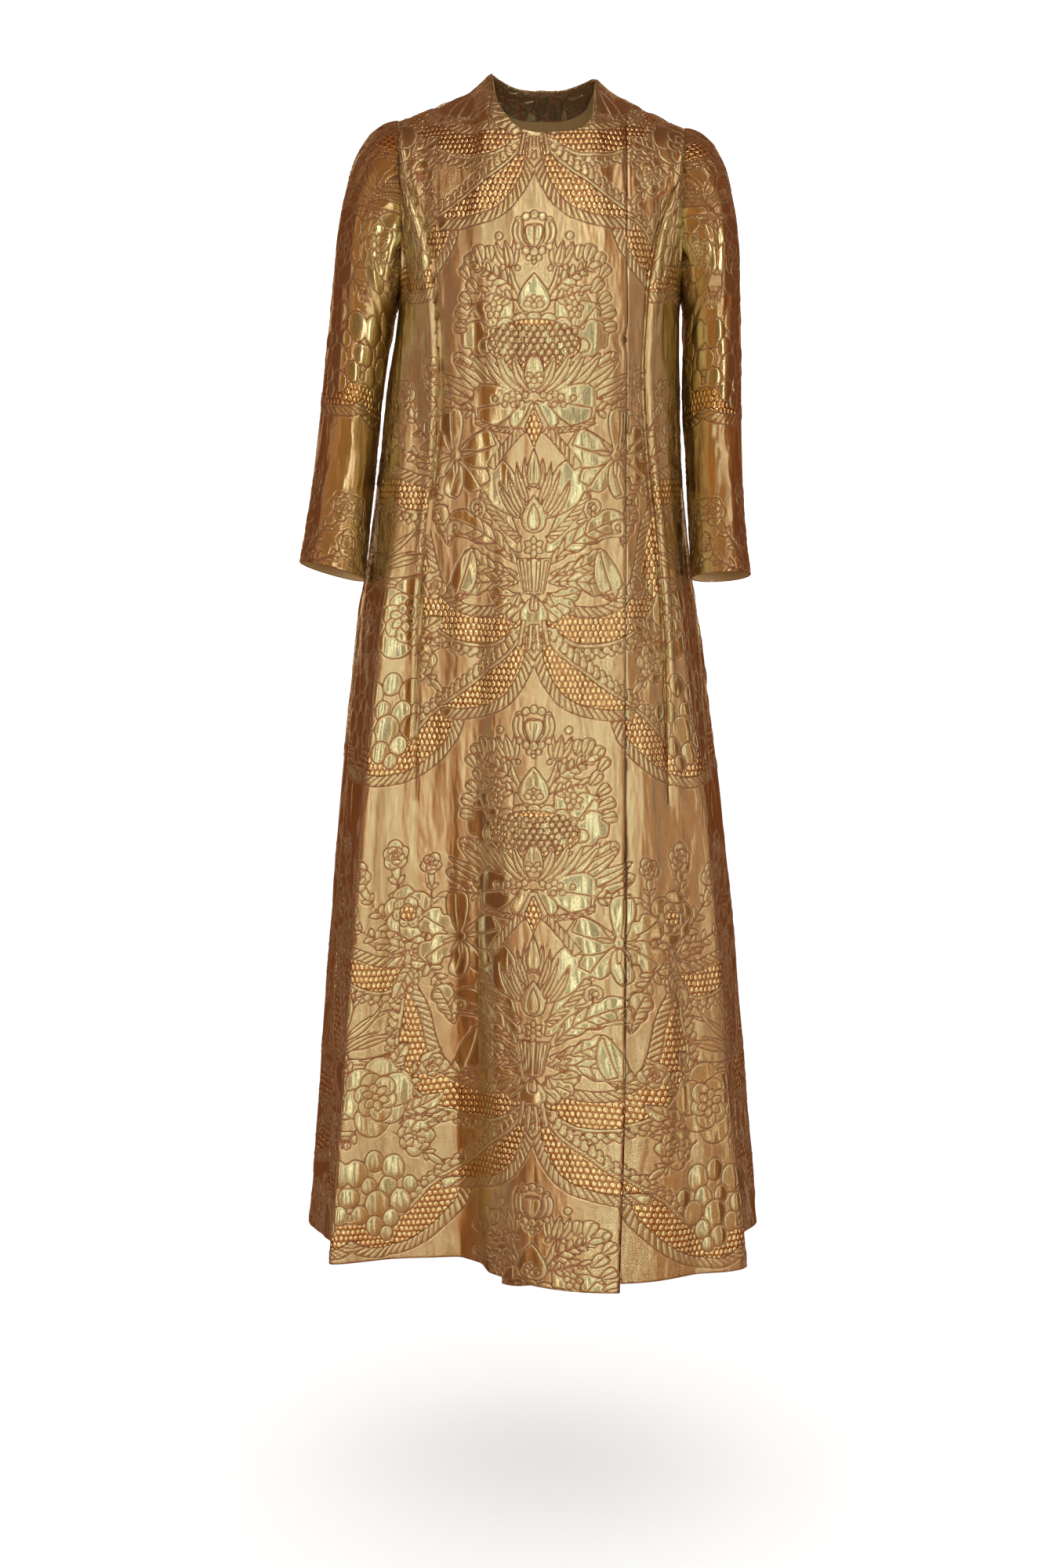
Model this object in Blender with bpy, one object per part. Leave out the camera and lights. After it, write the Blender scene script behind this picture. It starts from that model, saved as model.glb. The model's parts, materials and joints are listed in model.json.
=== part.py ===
"""Evening coat in gold brocade, worn open form: two fronts, back, two set-in sleeves, hook and eye.

The part is in metres with +Z up. X runs to the wearer's left, the front faces -Y, and the origin
lies midway between the neck ends of the two shoulder seams, where the wearer carries the coat.

The body is one smooth ring at each height, given by SECTIONS, with the folds of HEM_FOLDS growing
into it from the bust down to the hem. Above the bust each upright line of the cloth runs on to the
neckline, the shoulder seam or the armhole. A place on the body is a turn, in degrees round from the
centre front towards the wearer's left, and a rise, 0 at the hem, 1 at bust height, 2 at the top.
"""
import math

import bmesh
import bpy
import numpy as np

COLLECTION = "evening_coat"

CLOTH = 0.0020            # thickness of brocade and lining together
SEAM_GAP = 0.0003         # clear space between two sewn pieces
HEM_HEIGHT = -1.228       # below the neck end of the shoulder seam
BUST_HEIGHT = -0.248
UNDERARM_HEIGHT = -0.218

# The rings of the body, a row for each height, as half widths and depths from the middle
# columns: height, wearers right, wearers left, front, back
SECTIONS = (
    (-0.248, 0.1490, 0.1430, 0.1250, 0.1070),
    (-0.313, 0.1590, 0.1440, 0.1255, 0.1060),
    (-0.393, 0.1695, 0.1480, 0.1220, 0.1080),
    (-0.500, 0.1850, 0.1590, 0.1270, 0.1210),
    (-0.558, 0.1955, 0.1680, 0.1320, 0.1300),
    (-0.633, 0.2045, 0.1780, 0.1385, 0.1410),
    (-0.803, 0.2225, 0.2005, 0.1500, 0.1560),
    (-1.003, 0.2395, 0.2205, 0.1610, 0.1660),
    (-1.153, 0.2520, 0.2340, 0.1690, 0.1720),
    (-1.228, 0.2600, 0.2410, 0.1730, 0.1740),
)
SQUARENESS = 2.25         # 2 is an ellipse, more is squarer

# The hem seen from above, a row for each fold, as the reach of the cloth from the middle
# columns: fold, turn, reach
HEM_FOLDS = (
    ("centre back ridge", -180.0, 0.192),
    ("right back valley", -164.0, 0.178),
    ("right back ridge", -147.0, 0.212),
    ("right hip valley", -130.0, 0.203),
    ("right flare", -114.0, 0.243),
    ("right flare corner", -96.0, 0.259),
    ("right side", -84.0, 0.240),
    ("right side valley", -71.0, 0.227),
    ("right front ridge", -62.5, 0.251),
    ("right front panel", -57.5, 0.188),
    ("right panel middle", -52.0, 0.158),
    ("right front valley", -40.5, 0.127),
    ("foot of the riser", -31.0, 0.128),
    ("top of the riser", -17.5, 0.152),
    ("centre front", 0.0, 0.172),
    ("under the lap", 20.5, 0.186),
    ("left panel", 35.0, 0.203),
    ("left panel middle", 47.0, 0.214),
    ("left front ridge", 59.5, 0.250),
    ("left side valley", 70.0, 0.219),
    ("left side", 85.0, 0.225),
    ("left flare corner", 95.0, 0.243),
    ("left flare", 110.0, 0.226),
    ("left hip valley", 127.0, 0.199),
    ("left back ridge", 146.0, 0.209),
    ("left back valley", 163.0, 0.176),
)

FOLD_SLOWNESS_FRONT = 1.0     # 1 grows evenly from the bust, more grows later
FOLD_SLOWNESS_BACK = 1.6

# The neck opening seen from above, an oval round the origin. Beneath the lap it is cut wider.
NECK_WIDTH_RIGHT = 0.0500
NECK_WIDTH_LEFT = 0.0565
NECK_DEPTH_RIGHT = 0.080
NECK_DEPTH_LEFT = 0.078
NECK_DEPTH_BACK = 0.057
NECK_SQUARENESS = 2.7
NECK_SQUARENESS_LEFT = 4.2    # of the left front's own neckline

# The line of the shoulders, a row for each turn from the centre. It is also carried on across the
# neck opening, where the cloth is cut away, so that the cloth beside the neck stays smooth.
# columns: turn, x, y, z
RIDGE = ((0.0, 0.0000, 0.000, 0.0040), (14.0, 0.0245, 0.000, 0.0032), (28.0, 0.0500, 0.000, 0.0000),
         (36.0, 0.0720, 0.001, -0.0160), (45.0, 0.1060, 0.002, -0.0305), (55.0, 0.1470, 0.004, -0.0455))
# Half of the armhole, from the shoulder end down to the underarm
ARMHOLE_FRONT = ((0.147, 0.004, -0.0455), (0.1465, -0.020, -0.062), (0.1450, -0.038, -0.090),
                 (0.1435, -0.048, -0.125), (0.1430, -0.049, -0.160), (0.1433, -0.038, -0.194),
                 (0.1440, -0.020, -0.212), (0.1450, 0.000, -0.218))
ARMHOLE_BACK = ((0.147, 0.004, -0.0455), (0.1475, 0.026, -0.060), (0.1475, 0.044, -0.088),
                (0.1475, 0.054, -0.125), (0.1470, 0.054, -0.160), (0.1465, 0.042, -0.194),
                (0.1455, 0.022, -0.212), (0.1450, 0.000, -0.218))
LEFT_SHOULDER_DROP = 0.0072   # the wearer's left shoulder end is this much lower

# The direction in which the cloth arrives at the top, a row for each turn from the centre; at the
# shoulder seam front and back arrive from opposite sides of one plane
# columns: turn, outwards, backwards, up
ARRIVAL_FRONT = ((0.0, 0.00, 0.88, 0.48), (28.0, 0.00, 0.90, 0.42), (40.0, 0.00, 0.95, 0.31),
                 (55.0, 0.00, 0.98, 0.20), (60.0, 0.04, 0.88, 0.48), (67.0, 0.09, 0.55, 0.83),
                 (76.0, 0.10, 0.30, 0.95), (90.0, 0.00, 0.00, 1.00))
ARRIVAL_BACK = ((0.0, 0.00, -0.95, -0.31), (28.0, 0.00, -0.95, -0.31), (40.0, 0.00, -0.96, -0.28),
                (55.0, 0.00, -0.98, -0.20), (60.0, 0.03, -0.92, 0.25), (67.0, 0.05, -0.60, 0.78),
                (76.0, 0.05, -0.25, 0.96), (90.0, 0.00, 0.00, 1.00))
# How long each upright line runs on straight above the bust, 1 for an even bend
STRAIGHTNESS = ((0.0, 1.30), (28.0, 1.25), (55.0, 1.00), (125.0, 1.00), (152.0, 1.55), (180.0, 1.65))

TIP_TURN = 55.0           # the upright line that ends at the shoulder end
SIDE_TURN_TOP = 90.0      # the side seam under the arm
SIDE_TURN_HEM = 82.0      # and at the hem, a little to the front

# The lap: the right front's edge by height, the left front's hidden edge, and the lap's top edge
LAP_EDGE = ((-0.056, 0.0852), (-0.270, 0.0832), (-0.980, 0.0828), (-1.228, 0.0765))
UNDERLAP_EDGE = -0.041
LAP_TOP = ((0.000, -0.0710), (0.030, -0.0680), (0.052, -0.0615), (0.072, -0.0560), (0.088, -0.0505))
LAP_CLEARANCE = 0.0006    # between the two fronts where the underlap begins
LAP_EDGE_CLEARANCE = 0.0021
LAP_LIFT = 0.024          # how far the lap's edge swings forward at the hem
LAP_SWING_WIDTH = 0.055   # and how far past the centre front the swing begins
LAP_LIFT_START = -0.68    # and the height from which it does
UNDERLAP_DROP = 0.0085    # how far the underlap's corner hangs below the hem

# The long dart of each front, from the armhole to the hip, as distance from the centre at a height
# columns: height, distance
DART = ((-0.098, 0.1470), (-0.128, 0.1300), (-0.173, 0.1155), (-0.231, 0.1070), (-0.303, 0.1035),
        (-0.338, 0.1045), (-0.403, 0.1090), (-0.453, 0.1150), (-0.523, 0.1220), (-0.603, 0.1265),
        (-0.738, 0.1290))
DART_DEPTH = 0.0022
DART_HOLLOW = 0.030       # how far the hollow beside the dart reaches
DART_RIDGE = 0.010        # width of the ridge on its other side
DART_FADE = 0.060

# The sleeves, a row for each height: the inner and outer side, the middle's depth and half depth
# columns: height, inner, outer, middle, half depth
SLEEVE_RIGHT = (
    (-0.258, 0.1550, 0.2205, 0.001, 0.0575),
    (-0.323, 0.1655, 0.2285, 0.002, 0.0540),
    (-0.403, 0.1740, 0.2385, -0.008, 0.0505),
    (-0.458, 0.1795, 0.2450, -0.024, 0.0490),
    (-0.505, 0.1830, 0.2510, -0.040, 0.0480),
)
SLEEVE_LEFT = (
    (-0.258, 0.1480, 0.2070, 0.001, 0.0575),
    (-0.323, 0.1480, 0.2085, 0.001, 0.0540),
    (-0.403, 0.1525, 0.2110, -0.012, 0.0505),
    (-0.458, 0.1535, 0.2125, -0.032, 0.0490),
    (-0.510, 0.1550, 0.2165, -0.052, 0.0480),
)
CUFF_SLOPE = 0.16         # how much lower a cuff is at its back than at its front, per metre
CUFF_TILT_RIGHT = 0.26    # how much higher the cuff is outside than inside, per metre
CUFF_TILT_LEFT = 0.04

# The hook and eye, on the left front at the lap's edge
EYE_HEIGHT = -0.273
EYE_RADIUS = 0.0042
EYE_WIRE = 0.0005
EYE_INSET = 0.0022        # the eye's middle lies this far under the lap
HOOK_WIRE = 0.0005

# How finely each piece is divided
SKIRT_ROWS = 16
YOKE_ROWS = 6
COLLAR_ROWS = 3
ARMHOLE_COLUMNS = 11
SHOULDER_COLUMNS = 3
UNDERLAP_COLUMNS = 5
SLEEVE_CAP_ROWS = 6
SLEEVE_ROWS = 7

GOLD = (0.56, 0.38, 0.12, 1.0)
WIRE_GOLD = (0.80, 0.66, 0.40, 1.0)
DARK_METAL = (0.05, 0.04, 0.03, 1.0)


def through(rows, at):
    """Read a smooth curve through the rows (place, value) at the given places, with no overshoot."""
    rows = np.asarray(rows, dtype=float)
    place, value = rows[:, 0], rows[:, 1:]
    step = np.diff(place)[:, None]
    slope = np.diff(value, axis=0) / step
    tangent = np.empty_like(value)
    tangent[0], tangent[-1] = slope[0], slope[-1]
    same = slope[:-1] * slope[1:] > 0
    weight_a = 2 * step[1:] + step[:-1]
    weight_b = step[1:] + 2 * step[:-1]
    safe_a = np.where(same, slope[:-1], 1.0)
    safe_b = np.where(same, slope[1:], 1.0)
    mean = (weight_a + weight_b) / (weight_a / safe_a + weight_b / safe_b)
    tangent[1:-1] = np.where(same, mean, 0.0)
    at = np.clip(np.asarray(at, dtype=float), place[0], place[-1])
    low = np.clip(np.searchsorted(place, at, side="right") - 1, 0, len(place) - 2)
    span = step[low, 0][..., None]
    part = ((at - place[low])[..., None]) / span
    curve = ((1 + 2 * part) * (1 - part) ** 2 * value[low]
             + part * (1 - part) ** 2 * span * tangent[low]
             + part ** 2 * (3 - 2 * part) * value[low + 1]
             + part ** 2 * (part - 1) * span * tangent[low + 1])
    return curve[..., 0] if value.shape[1] == 1 else curve


def rising(rows):
    """Sort a table by its first column, because heights are written from the top down."""
    return tuple(sorted(rows, key=lambda row: row[0]))


def along(points, part):
    """Read a smooth curve through 3-D points at parts 0 to 1 of its length."""
    points = np.asarray(points, dtype=float)
    length = np.concatenate([[0.0], np.cumsum(np.linalg.norm(np.diff(points, axis=0), axis=1))])
    return through(np.column_stack([length / length[-1], points]), part)


def ease(value):
    """Run smoothly from 0 to 1 as the value does."""
    value = np.clip(value, 0.0, 1.0)
    return value * value * (3 - 2 * value)


def smooth_reach(turn, height):
    """Give the reach of the ring without folds."""
    right, left, front, back = np.moveaxis(through(rising(SECTIONS), height), -1, 0)
    across, ahead = np.sin(np.radians(turn)), np.cos(np.radians(turn))
    width = np.where(across < 0, right, left)
    depth = np.where(ahead > 0, front, back)
    power = (np.abs(across) / width) ** SQUARENESS + (np.abs(ahead) / depth) ** SQUARENESS
    return power ** (-1 / SQUARENESS)


def hem_reach(turn):
    """Give the reach of the folded hem."""
    rows = [(row[1], row[2]) for row in HEM_FOLDS]
    before = [(place - 360, value) for place, value in rows[-4:]]
    after = [(place + 360, value) for place, value in rows[:4]]
    wrapped = (np.asarray(turn, dtype=float) + 180) % 360 - 180
    return through(before + rows + after, wrapped)


def skirt_point(turn, rise):
    """Give points of the body between the hem, rise 0, and the bust, rise 1."""
    turn, rise = np.broadcast_arrays(np.asarray(turn, float), np.asarray(rise, float))
    height = HEM_HEIGHT + (BUST_HEIGHT - HEM_HEIGHT) * rise
    fold = hem_reach(turn) - smooth_reach(turn, np.full_like(height, HEM_HEIGHT))
    angle = np.radians(turn)
    slowness = FOLD_SLOWNESS_FRONT + (FOLD_SLOWNESS_BACK - FOLD_SLOWNESS_FRONT) * (1 - np.cos(angle)) / 2
    reach = smooth_reach(turn, height) + fold * (1 - rise) ** slowness
    return np.stack([reach * np.sin(angle), -reach * np.cos(angle), height], axis=-1)


def shoulder_drop(points):
    """Lower the wearer's left shoulder by its share at each point of the shoulder or armhole."""
    out = np.clip((points[..., 0] - 0.05) / 0.097, 0, 1) ** 1.3
    up = ease((points[..., 2] - UNDERARM_HEIGHT) / (RIDGE[-1][-1] - UNDERARM_HEIGHT))
    lowered = points.copy()
    lowered[..., 2] -= LEFT_SHOULDER_DROP * out * up
    return lowered


def top_line(turn):
    """Give the top end of each upright line and the direction in which the cloth arrives there."""
    side = np.where(turn % 360 > 180, -1.0, 1.0)
    from_front = np.abs((np.asarray(turn, float) + 180) % 360 - 180)
    front = (from_front <= SIDE_TURN_TOP)[..., None]
    angle = np.where(front[..., 0], from_front, 180 - from_front)
    arm = np.clip((angle - TIP_TURN) / (SIDE_TURN_TOP - TIP_TURN), 0, 1)
    armhole = np.where(front, along(ARMHOLE_FRONT, arm), along(ARMHOLE_BACK, arm))
    point = np.where((angle > TIP_TURN)[..., None], armhole, through(RIDGE, angle))
    mirror = np.stack([side, np.ones_like(side), np.ones_like(side)], axis=-1)
    way = np.where(front, through(ARRIVAL_FRONT, angle), through(ARRIVAL_BACK, angle))
    way = way / np.linalg.norm(way, axis=-1, keepdims=True)
    return shoulder_drop(point * mirror), way * mirror


def yoke_point(turn, rise):
    """Give points of the body between the bust, rise 1, and the top line, rise 2."""
    turn, rise = np.broadcast_arrays(np.asarray(turn, float), np.asarray(rise, float))
    foot = skirt_point(turn, np.ones_like(rise))
    head, way = top_line(turn)
    below = skirt_point(turn, np.full_like(rise, 0.99))
    start = (foot - below) / np.linalg.norm(foot - below, axis=-1, keepdims=True)
    length = np.linalg.norm(head - foot, axis=-1, keepdims=True)
    start = start * through(STRAIGHTNESS, np.abs((turn + 180) % 360 - 180))[..., None]
    part = (rise - 1)[..., None]
    return ((1 + 2 * part) * (1 - part) ** 2 * foot
            + part * (1 - part) ** 2 * length * start
            + part ** 2 * (3 - 2 * part) * head
            + part ** 2 * (part - 1) * length * way)


def smooth_point(turn, rise):
    """Give points of the body without its darts."""
    turn, rise = np.broadcast_arrays(np.asarray(turn, float), np.asarray(rise, float))
    low = skirt_point(turn, np.minimum(rise, 1))
    high = yoke_point(turn, np.maximum(rise, 1))
    return np.where((rise > 1)[..., None], high, low)


def normals(turn, rise):
    """Give the outward direction of the smooth body, by small steps on it."""
    turn, rise = np.broadcast_arrays(np.asarray(turn, float), np.asarray(rise, float))
    small_turn, small_rise = 0.5, 0.004
    beyond = np.abs((turn + 180) % 360 - 180) - SIDE_TURN_TOP
    at_side = (np.abs(beyond) < small_turn) & (rise > 1)
    one_way = np.where(at_side, 0.0, small_turn)
    across = smooth_point(turn + one_way, rise) - smooth_point(turn - one_way, rise)
    sideways = np.zeros_like(across)
    sideways[..., 1] = np.sign(np.sin(np.radians(turn)))
    across = np.where(at_side[..., None], sideways, across)
    up = smooth_point(turn, np.minimum(rise + small_rise, 2)) - smooth_point(turn, rise - small_rise)
    outward = np.cross(across, up)
    return outward / np.linalg.norm(outward, axis=-1, keepdims=True)


def dart_offset(points):
    """Give how far the cloth stands out, or in, beside the dart of each front."""
    height = points[..., 2]
    beside = np.abs(points[..., 0]) - through(rising(DART), height)
    groove = -np.exp(-(beside / 0.0025) ** 2)
    hollow = -0.6 * ease(1 + beside / DART_HOLLOW) * (beside < 0)
    ridge = np.sin(np.pi * np.clip(beside / DART_RIDGE, 0, 1)) * (beside > 0)
    top, end = DART[0][0], DART[-1][0]
    fade = ease((top - height) / DART_FADE) * ease((height - end) / (3 * DART_FADE))
    return DART_DEPTH * fade * (groove + hollow + ridge) * (points[..., 1] < 0)


def body_point(turn, rise):
    """Give points of the body's outer face and their outward directions."""
    points = smooth_point(turn, rise)
    out = normals(turn, rise)
    return points + out * dart_offset(points)[..., None], out


def side_turn(rise):
    """Give the turn of the side seam."""
    return SIDE_TURN_HEM + (SIDE_TURN_TOP - SIDE_TURN_HEM) * ease(np.minimum(rise, 1))


def turn_where(rise, distance):
    """Give the turn at which a front ring lies this far to the wearer's left of the centre."""
    turns = np.linspace(-SIDE_TURN_HEM + 12, SIDE_TURN_HEM - 12, 561)
    return float(np.interp(distance, smooth_point(turns, rise)[:, 0], turns))


def spread(rise, start, end, parts):
    """Give turns between start and end at the given parts of the cloth's length there."""
    turns = np.linspace(start, end, 401)
    points = smooth_point(turns, rise)
    length = np.concatenate([[0.0], np.cumsum(np.linalg.norm(np.diff(points, axis=0), axis=1))])
    return np.interp(np.asarray(parts) * length[-1], length, turns)


def bust_parts(start, end, turns):
    """Give the parts of the bust ring's length at which the given turns lie."""
    dense = np.linspace(start, end, 401)
    points = smooth_point(dense, 1.0)
    length = np.concatenate([[0.0], np.cumsum(np.linalg.norm(np.diff(points, axis=0), axis=1))])
    return np.interp(turns, dense, length) / length[-1]


def lap_edge(rise):
    """Give the lap edge's distance from the centre at one rise of the skirt."""
    return float(through(rising(LAP_EDGE), HEM_HEIGHT + (BUST_HEIGHT - HEM_HEIGHT) * rise))


def seam_step(rise):
    """Give the turn that half a seam gap takes up at the side."""
    reach = smooth_reach(side_turn(rise), HEM_HEIGHT + (BUST_HEIGHT - HEM_HEIGHT) * min(rise, 1.0))
    return math.degrees(0.5 * SEAM_GAP / float(reach))


def front_turns(rise, bust):
    """Give the turns of all the upright lines of both fronts at one height.

    The lines between the underlap's edge and the lap's edge stay at their own distance from the
    centre; those out to the side seams spread with the flare.
    """
    if rise >= 1:
        return bust["turns"]
    seam = float(side_turn(rise)) - seam_step(rise)
    inner, outer = turn_where(rise, UNDERLAP_EDGE), turn_where(rise, lap_edge(rise))
    middle = turn_where(rise, 0.0)
    return np.concatenate([
        spread(rise, -seam, inner, bust["right_parts"])[:-1],
        spread(rise, inner, middle, bust["under_parts"])[:-1],
        spread(rise, middle, outer, bust["lap_parts"])[:-1],
        spread(rise, outer, seam, bust["left_parts"]),
    ])


def neck_rise(turn):
    """Give the rise at which an upright line meets the neckline, or 2 at the shoulder seam."""
    rises = np.linspace(1.3, 2.0, 281)
    points = smooth_point(np.full_like(rises, turn), rises)
    left, front = points[:, 0] > 0, points[:, 1] < 0
    width = np.where(left, NECK_WIDTH_LEFT, NECK_WIDTH_RIGHT)
    depth = np.where(front, np.where(left, NECK_DEPTH_LEFT, NECK_DEPTH_RIGHT), NECK_DEPTH_BACK)
    power = np.where(left & front, NECK_SQUARENESS_LEFT, NECK_SQUARENESS)
    outside = (np.abs(points[:, 0]) / width) ** power + (np.abs(points[:, 1]) / depth) ** power - 1
    return float(np.interp(0.0, -outside, rises))


def neck_turns(width):
    """Choose the upright lines from the centre to the shoulder's neck end, evenly round the oval."""
    round_oval = np.radians(np.array([0.0, 20.0, 40.0, 58.0, 73.0, 90.0]))
    dense = np.linspace(0, 40.0, 401)
    return np.interp(width * np.sin(round_oval), through(RIDGE, dense)[:, 0], dense)


def bust_lines():
    """Choose the upright lines of the fronts at bust height, where each has its own top end."""
    seam = SIDE_TURN_TOP - seam_step(1.0)
    inner, outer = turn_where(1.0, UNDERLAP_EDGE), turn_where(1.0, lap_edge(1.0))
    arm = np.linspace(TIP_TURN, seam, ARMHOLE_COLUMNS + 1)
    left = np.concatenate([np.linspace(outer, TIP_TURN, SHOULDER_COLUMNS + 1)[:-1], arm])
    neck_right, neck_left = neck_turns(NECK_WIDTH_RIGHT), neck_turns(NECK_WIDTH_LEFT)
    beside_neck = neck_right[neck_right > 1 - inner]
    right = np.concatenate([-left[::-1][:-1], np.linspace(-outer, -neck_right[-1], 3)[:-1],
                            -beside_neck[::-1], [inner]])
    under = np.linspace(inner, 0.0, UNDERLAP_COLUMNS + 1)
    lap = np.concatenate([neck_left[:-1], np.linspace(neck_left[-1], outer, 3)])
    lines = {
        "turns": np.concatenate([right[:-1], under[:-1], lap[:-1], left]),
        "right_parts": bust_parts(-seam, inner, right),
        "under_parts": bust_parts(inner, 0.0, under),
        "lap_parts": bust_parts(0.0, outer, lap),
        "left_parts": bust_parts(outer, seam, left),
        "under_start": len(right) - 1,
        "centre": len(right) - 1 + len(under) - 1,
        "lap_end": len(right) - 1 + len(under) - 1 + len(lap) - 1,
    }
    return lines


def lap_rise(turn):
    """Give the rise at which an upright line meets the top edge of the lap."""
    rises = np.linspace(1.3, neck_rise(turn) - 0.004, 240)
    points = smooth_point(np.full_like(rises, turn), rises)
    above = points[:, 2] - through(LAP_TOP, np.abs(points[:, 0]))
    crossing = np.interp(0.0, above, rises) if above[-1] > 0 else rises[-1]
    side = ease((abs(turn) - 38.0) / 25.0)
    return float(crossing * (1 - side) + 1.72 * side)


def front_grid(bust):
    """Give turns and rises for every crossing of the fronts' upright and level lines."""
    skirt = np.linspace(0.0, 1.0, SKIRT_ROWS + 1)[:-1]
    turns = [front_turns(rise, bust) for rise in skirt]
    rises = [np.full_like(turns[0], rise) for rise in skirt]
    low_top = np.array([lap_rise(turn) for turn in bust["turns"]])
    full_top = np.array([neck_rise(turn) for turn in bust["turns"]]) - 0.001
    for part in np.linspace(0.0, 1.0, YOKE_ROWS + 1):
        turns.append(bust["turns"])
        rises.append(1 + part * (low_top - 1))
    for part in np.linspace(0.0, 1.0, COLLAR_ROWS + 1)[1:]:
        turns.append(bust["turns"])
        rises.append(low_top + part * (full_top - low_top))
    return np.array(turns), np.array(rises)


def grid_faces(rows, columns, keep):
    """Give the four-sided faces of a grid, those that keep(row, column) allows."""
    faces = []
    for row in range(rows - 1):
        for column in range(columns - 1):
            if keep(row, column):
                first = row * columns + column
                faces.append((first, first + 1, first + columns + 1, first + columns))
    return faces


def shell(name, points, outward, faces, colour, metallic, roughness):
    """Make a closed wall: the outer face, the same face moved in by the cloth, and its edges."""
    mesh = bmesh.new()
    outer, inner = [], []
    for point, out in zip(points, outward):
        outer.append(mesh.verts.new(point))
        inner.append(mesh.verts.new(point - out * CLOTH))
    for face in faces:
        mesh.faces.new([outer[corner] for corner in face])
    used = {tuple(sorted(edge)): 0 for face in faces for edge in zip(face, face[1:] + face[:1])}
    for face in faces:
        for edge in zip(face, face[1:] + face[:1]):
            used[tuple(sorted(edge))] += 1
    for face in faces:
        mesh.faces.new([inner[corner] for corner in reversed(face)])
        for start, end in zip(face, face[1:] + face[:1]):
            if used[tuple(sorted((start, end)))] == 1:
                mesh.faces.new([outer[end], outer[start], inner[start], inner[end]])
    loose = [vertex for vertex in mesh.verts if not vertex.link_faces]
    bmesh.ops.delete(mesh, geom=loose, context="VERTS")
    bmesh.ops.remove_doubles(mesh, verts=mesh.verts, dist=0.00002)
    bmesh.ops.triangulate(mesh, faces=mesh.faces)
    data = bpy.data.meshes.new(name)
    mesh.to_mesh(data)
    mesh.free()
    data.shade_smooth()
    data.set_sharp_from_angle(angle=math.radians(50))
    return add_object(name, data, colour, metallic, roughness)


def add_object(name, data, colour, metallic, roughness):
    """Put a mesh into the coat's collection with a material of its own."""
    material = bpy.data.materials.new(name + "_cloth" if metallic < 0.9 else name + "_metal")
    material.use_nodes = True
    surface = material.node_tree.nodes["Principled BSDF"]
    surface.inputs["Base Color"].default_value = colour
    surface.inputs["Metallic"].default_value = metallic
    surface.inputs["Roughness"].default_value = roughness
    data.materials.append(material)
    item = bpy.data.objects.new(name, data)
    bpy.data.collections[COLLECTION].objects.link(item)
    return item


def lap_offset(points):
    """Give how far the right front stands off the body so that it passes over the left front."""
    across, height = points[..., 0], points[..., 2]
    over = ease((across - UNDERLAP_EDGE + 0.036) / 0.030)
    edge = through(rising(LAP_EDGE), height)
    to_edge = np.clip((across - UNDERLAP_EDGE) / (edge - UNDERLAP_EDGE), 0, 1)
    clearance = LAP_CLEARANCE + (LAP_EDGE_CLEARANCE - LAP_CLEARANCE) * to_edge
    below = np.clip((LAP_LIFT_START - height) / (LAP_LIFT_START - HEM_HEIGHT), 0, 1)
    swing = LAP_LIFT * below ** 1.5 * ease((across + LAP_SWING_WIDTH) / (edge + LAP_SWING_WIDTH)) ** 1.2
    return over * (CLOTH + clearance) + swing


def make_fronts():
    """Make both fronts on one grid, the right one laid over the left one."""
    bust = bust_lines()
    turns, rises = front_grid(bust)
    points, out = body_point(turns, rises)
    rows, columns = turns.shape
    low_rows = SKIRT_ROWS + YOKE_ROWS
    lap = points + out * lap_offset(points)[..., None]
    under = points.copy()
    hidden = ease((0.01 - points[..., 0]) / 0.05) * ease((0.25 - rises) / 0.25)
    under[..., 2] -= UNDERLAP_DROP * hidden

    def on_right(row, column):
        return column < bust["centre"] or (column < bust["lap_end"] and row < low_rows)

    def on_left(row, column):
        return column >= bust["centre"] or (column >= bust["under_start"] and row < low_rows)

    shell("front_right", lap.reshape(-1, 3), out.reshape(-1, 3),
          grid_faces(rows, columns, on_right), GOLD, 0.8, 0.4)
    shell("front_left", under.reshape(-1, 3), out.reshape(-1, 3),
          grid_faces(rows, columns, on_left), GOLD, 0.8, 0.4)


def back_turns(rise, bust):
    """Give the turns of the back's upright lines at one height."""
    if rise >= 1:
        return bust["turns"]
    seam = float(side_turn(rise)) + seam_step(rise)
    return spread(rise, seam, 360 - seam, bust["parts"])


def make_back():
    """Make the back from side seam to side seam."""
    seam = SIDE_TURN_TOP + seam_step(1.0)
    arm = np.linspace(seam, 180 - TIP_TURN, ARMHOLE_COLUMNS + 1)
    halves = []
    for width in (NECK_WIDTH_LEFT, NECK_WIDTH_RIGHT):
        neck = neck_turns(width)
        shoulder = np.linspace(180 - TIP_TURN, 180 - neck[-1], SHOULDER_COLUMNS + 3)
        halves.append(np.concatenate([arm[:-1], shoulder[:-1], 180 - neck[::-1]]))
    turns = np.concatenate([halves[0], (360 - halves[1][::-1])[1:]])
    bust = {"turns": turns, "parts": bust_parts(seam, 360 - seam, turns)}
    skirt = np.linspace(0.0, 1.0, SKIRT_ROWS + 1)[:-1]
    yoke = np.linspace(0.0, 1.0, YOKE_ROWS + COLLAR_ROWS + 1)
    top = np.array([neck_rise(turn) for turn in turns]) - 0.001
    grid_turns = np.array([back_turns(rise, bust) for rise in np.concatenate([skirt, 1 + yoke])])
    grid_rises = np.concatenate([np.repeat(skirt[:, None], len(turns), axis=1),
                                 1 + yoke[:, None] * (top - 1)])
    points, out = body_point(grid_turns, grid_rises)
    rows, columns = grid_turns.shape
    shell("back", points.reshape(-1, 3), out.reshape(-1, 3),
          grid_faces(rows, columns, lambda row, column: True), GOLD, 0.8, 0.4)


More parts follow.
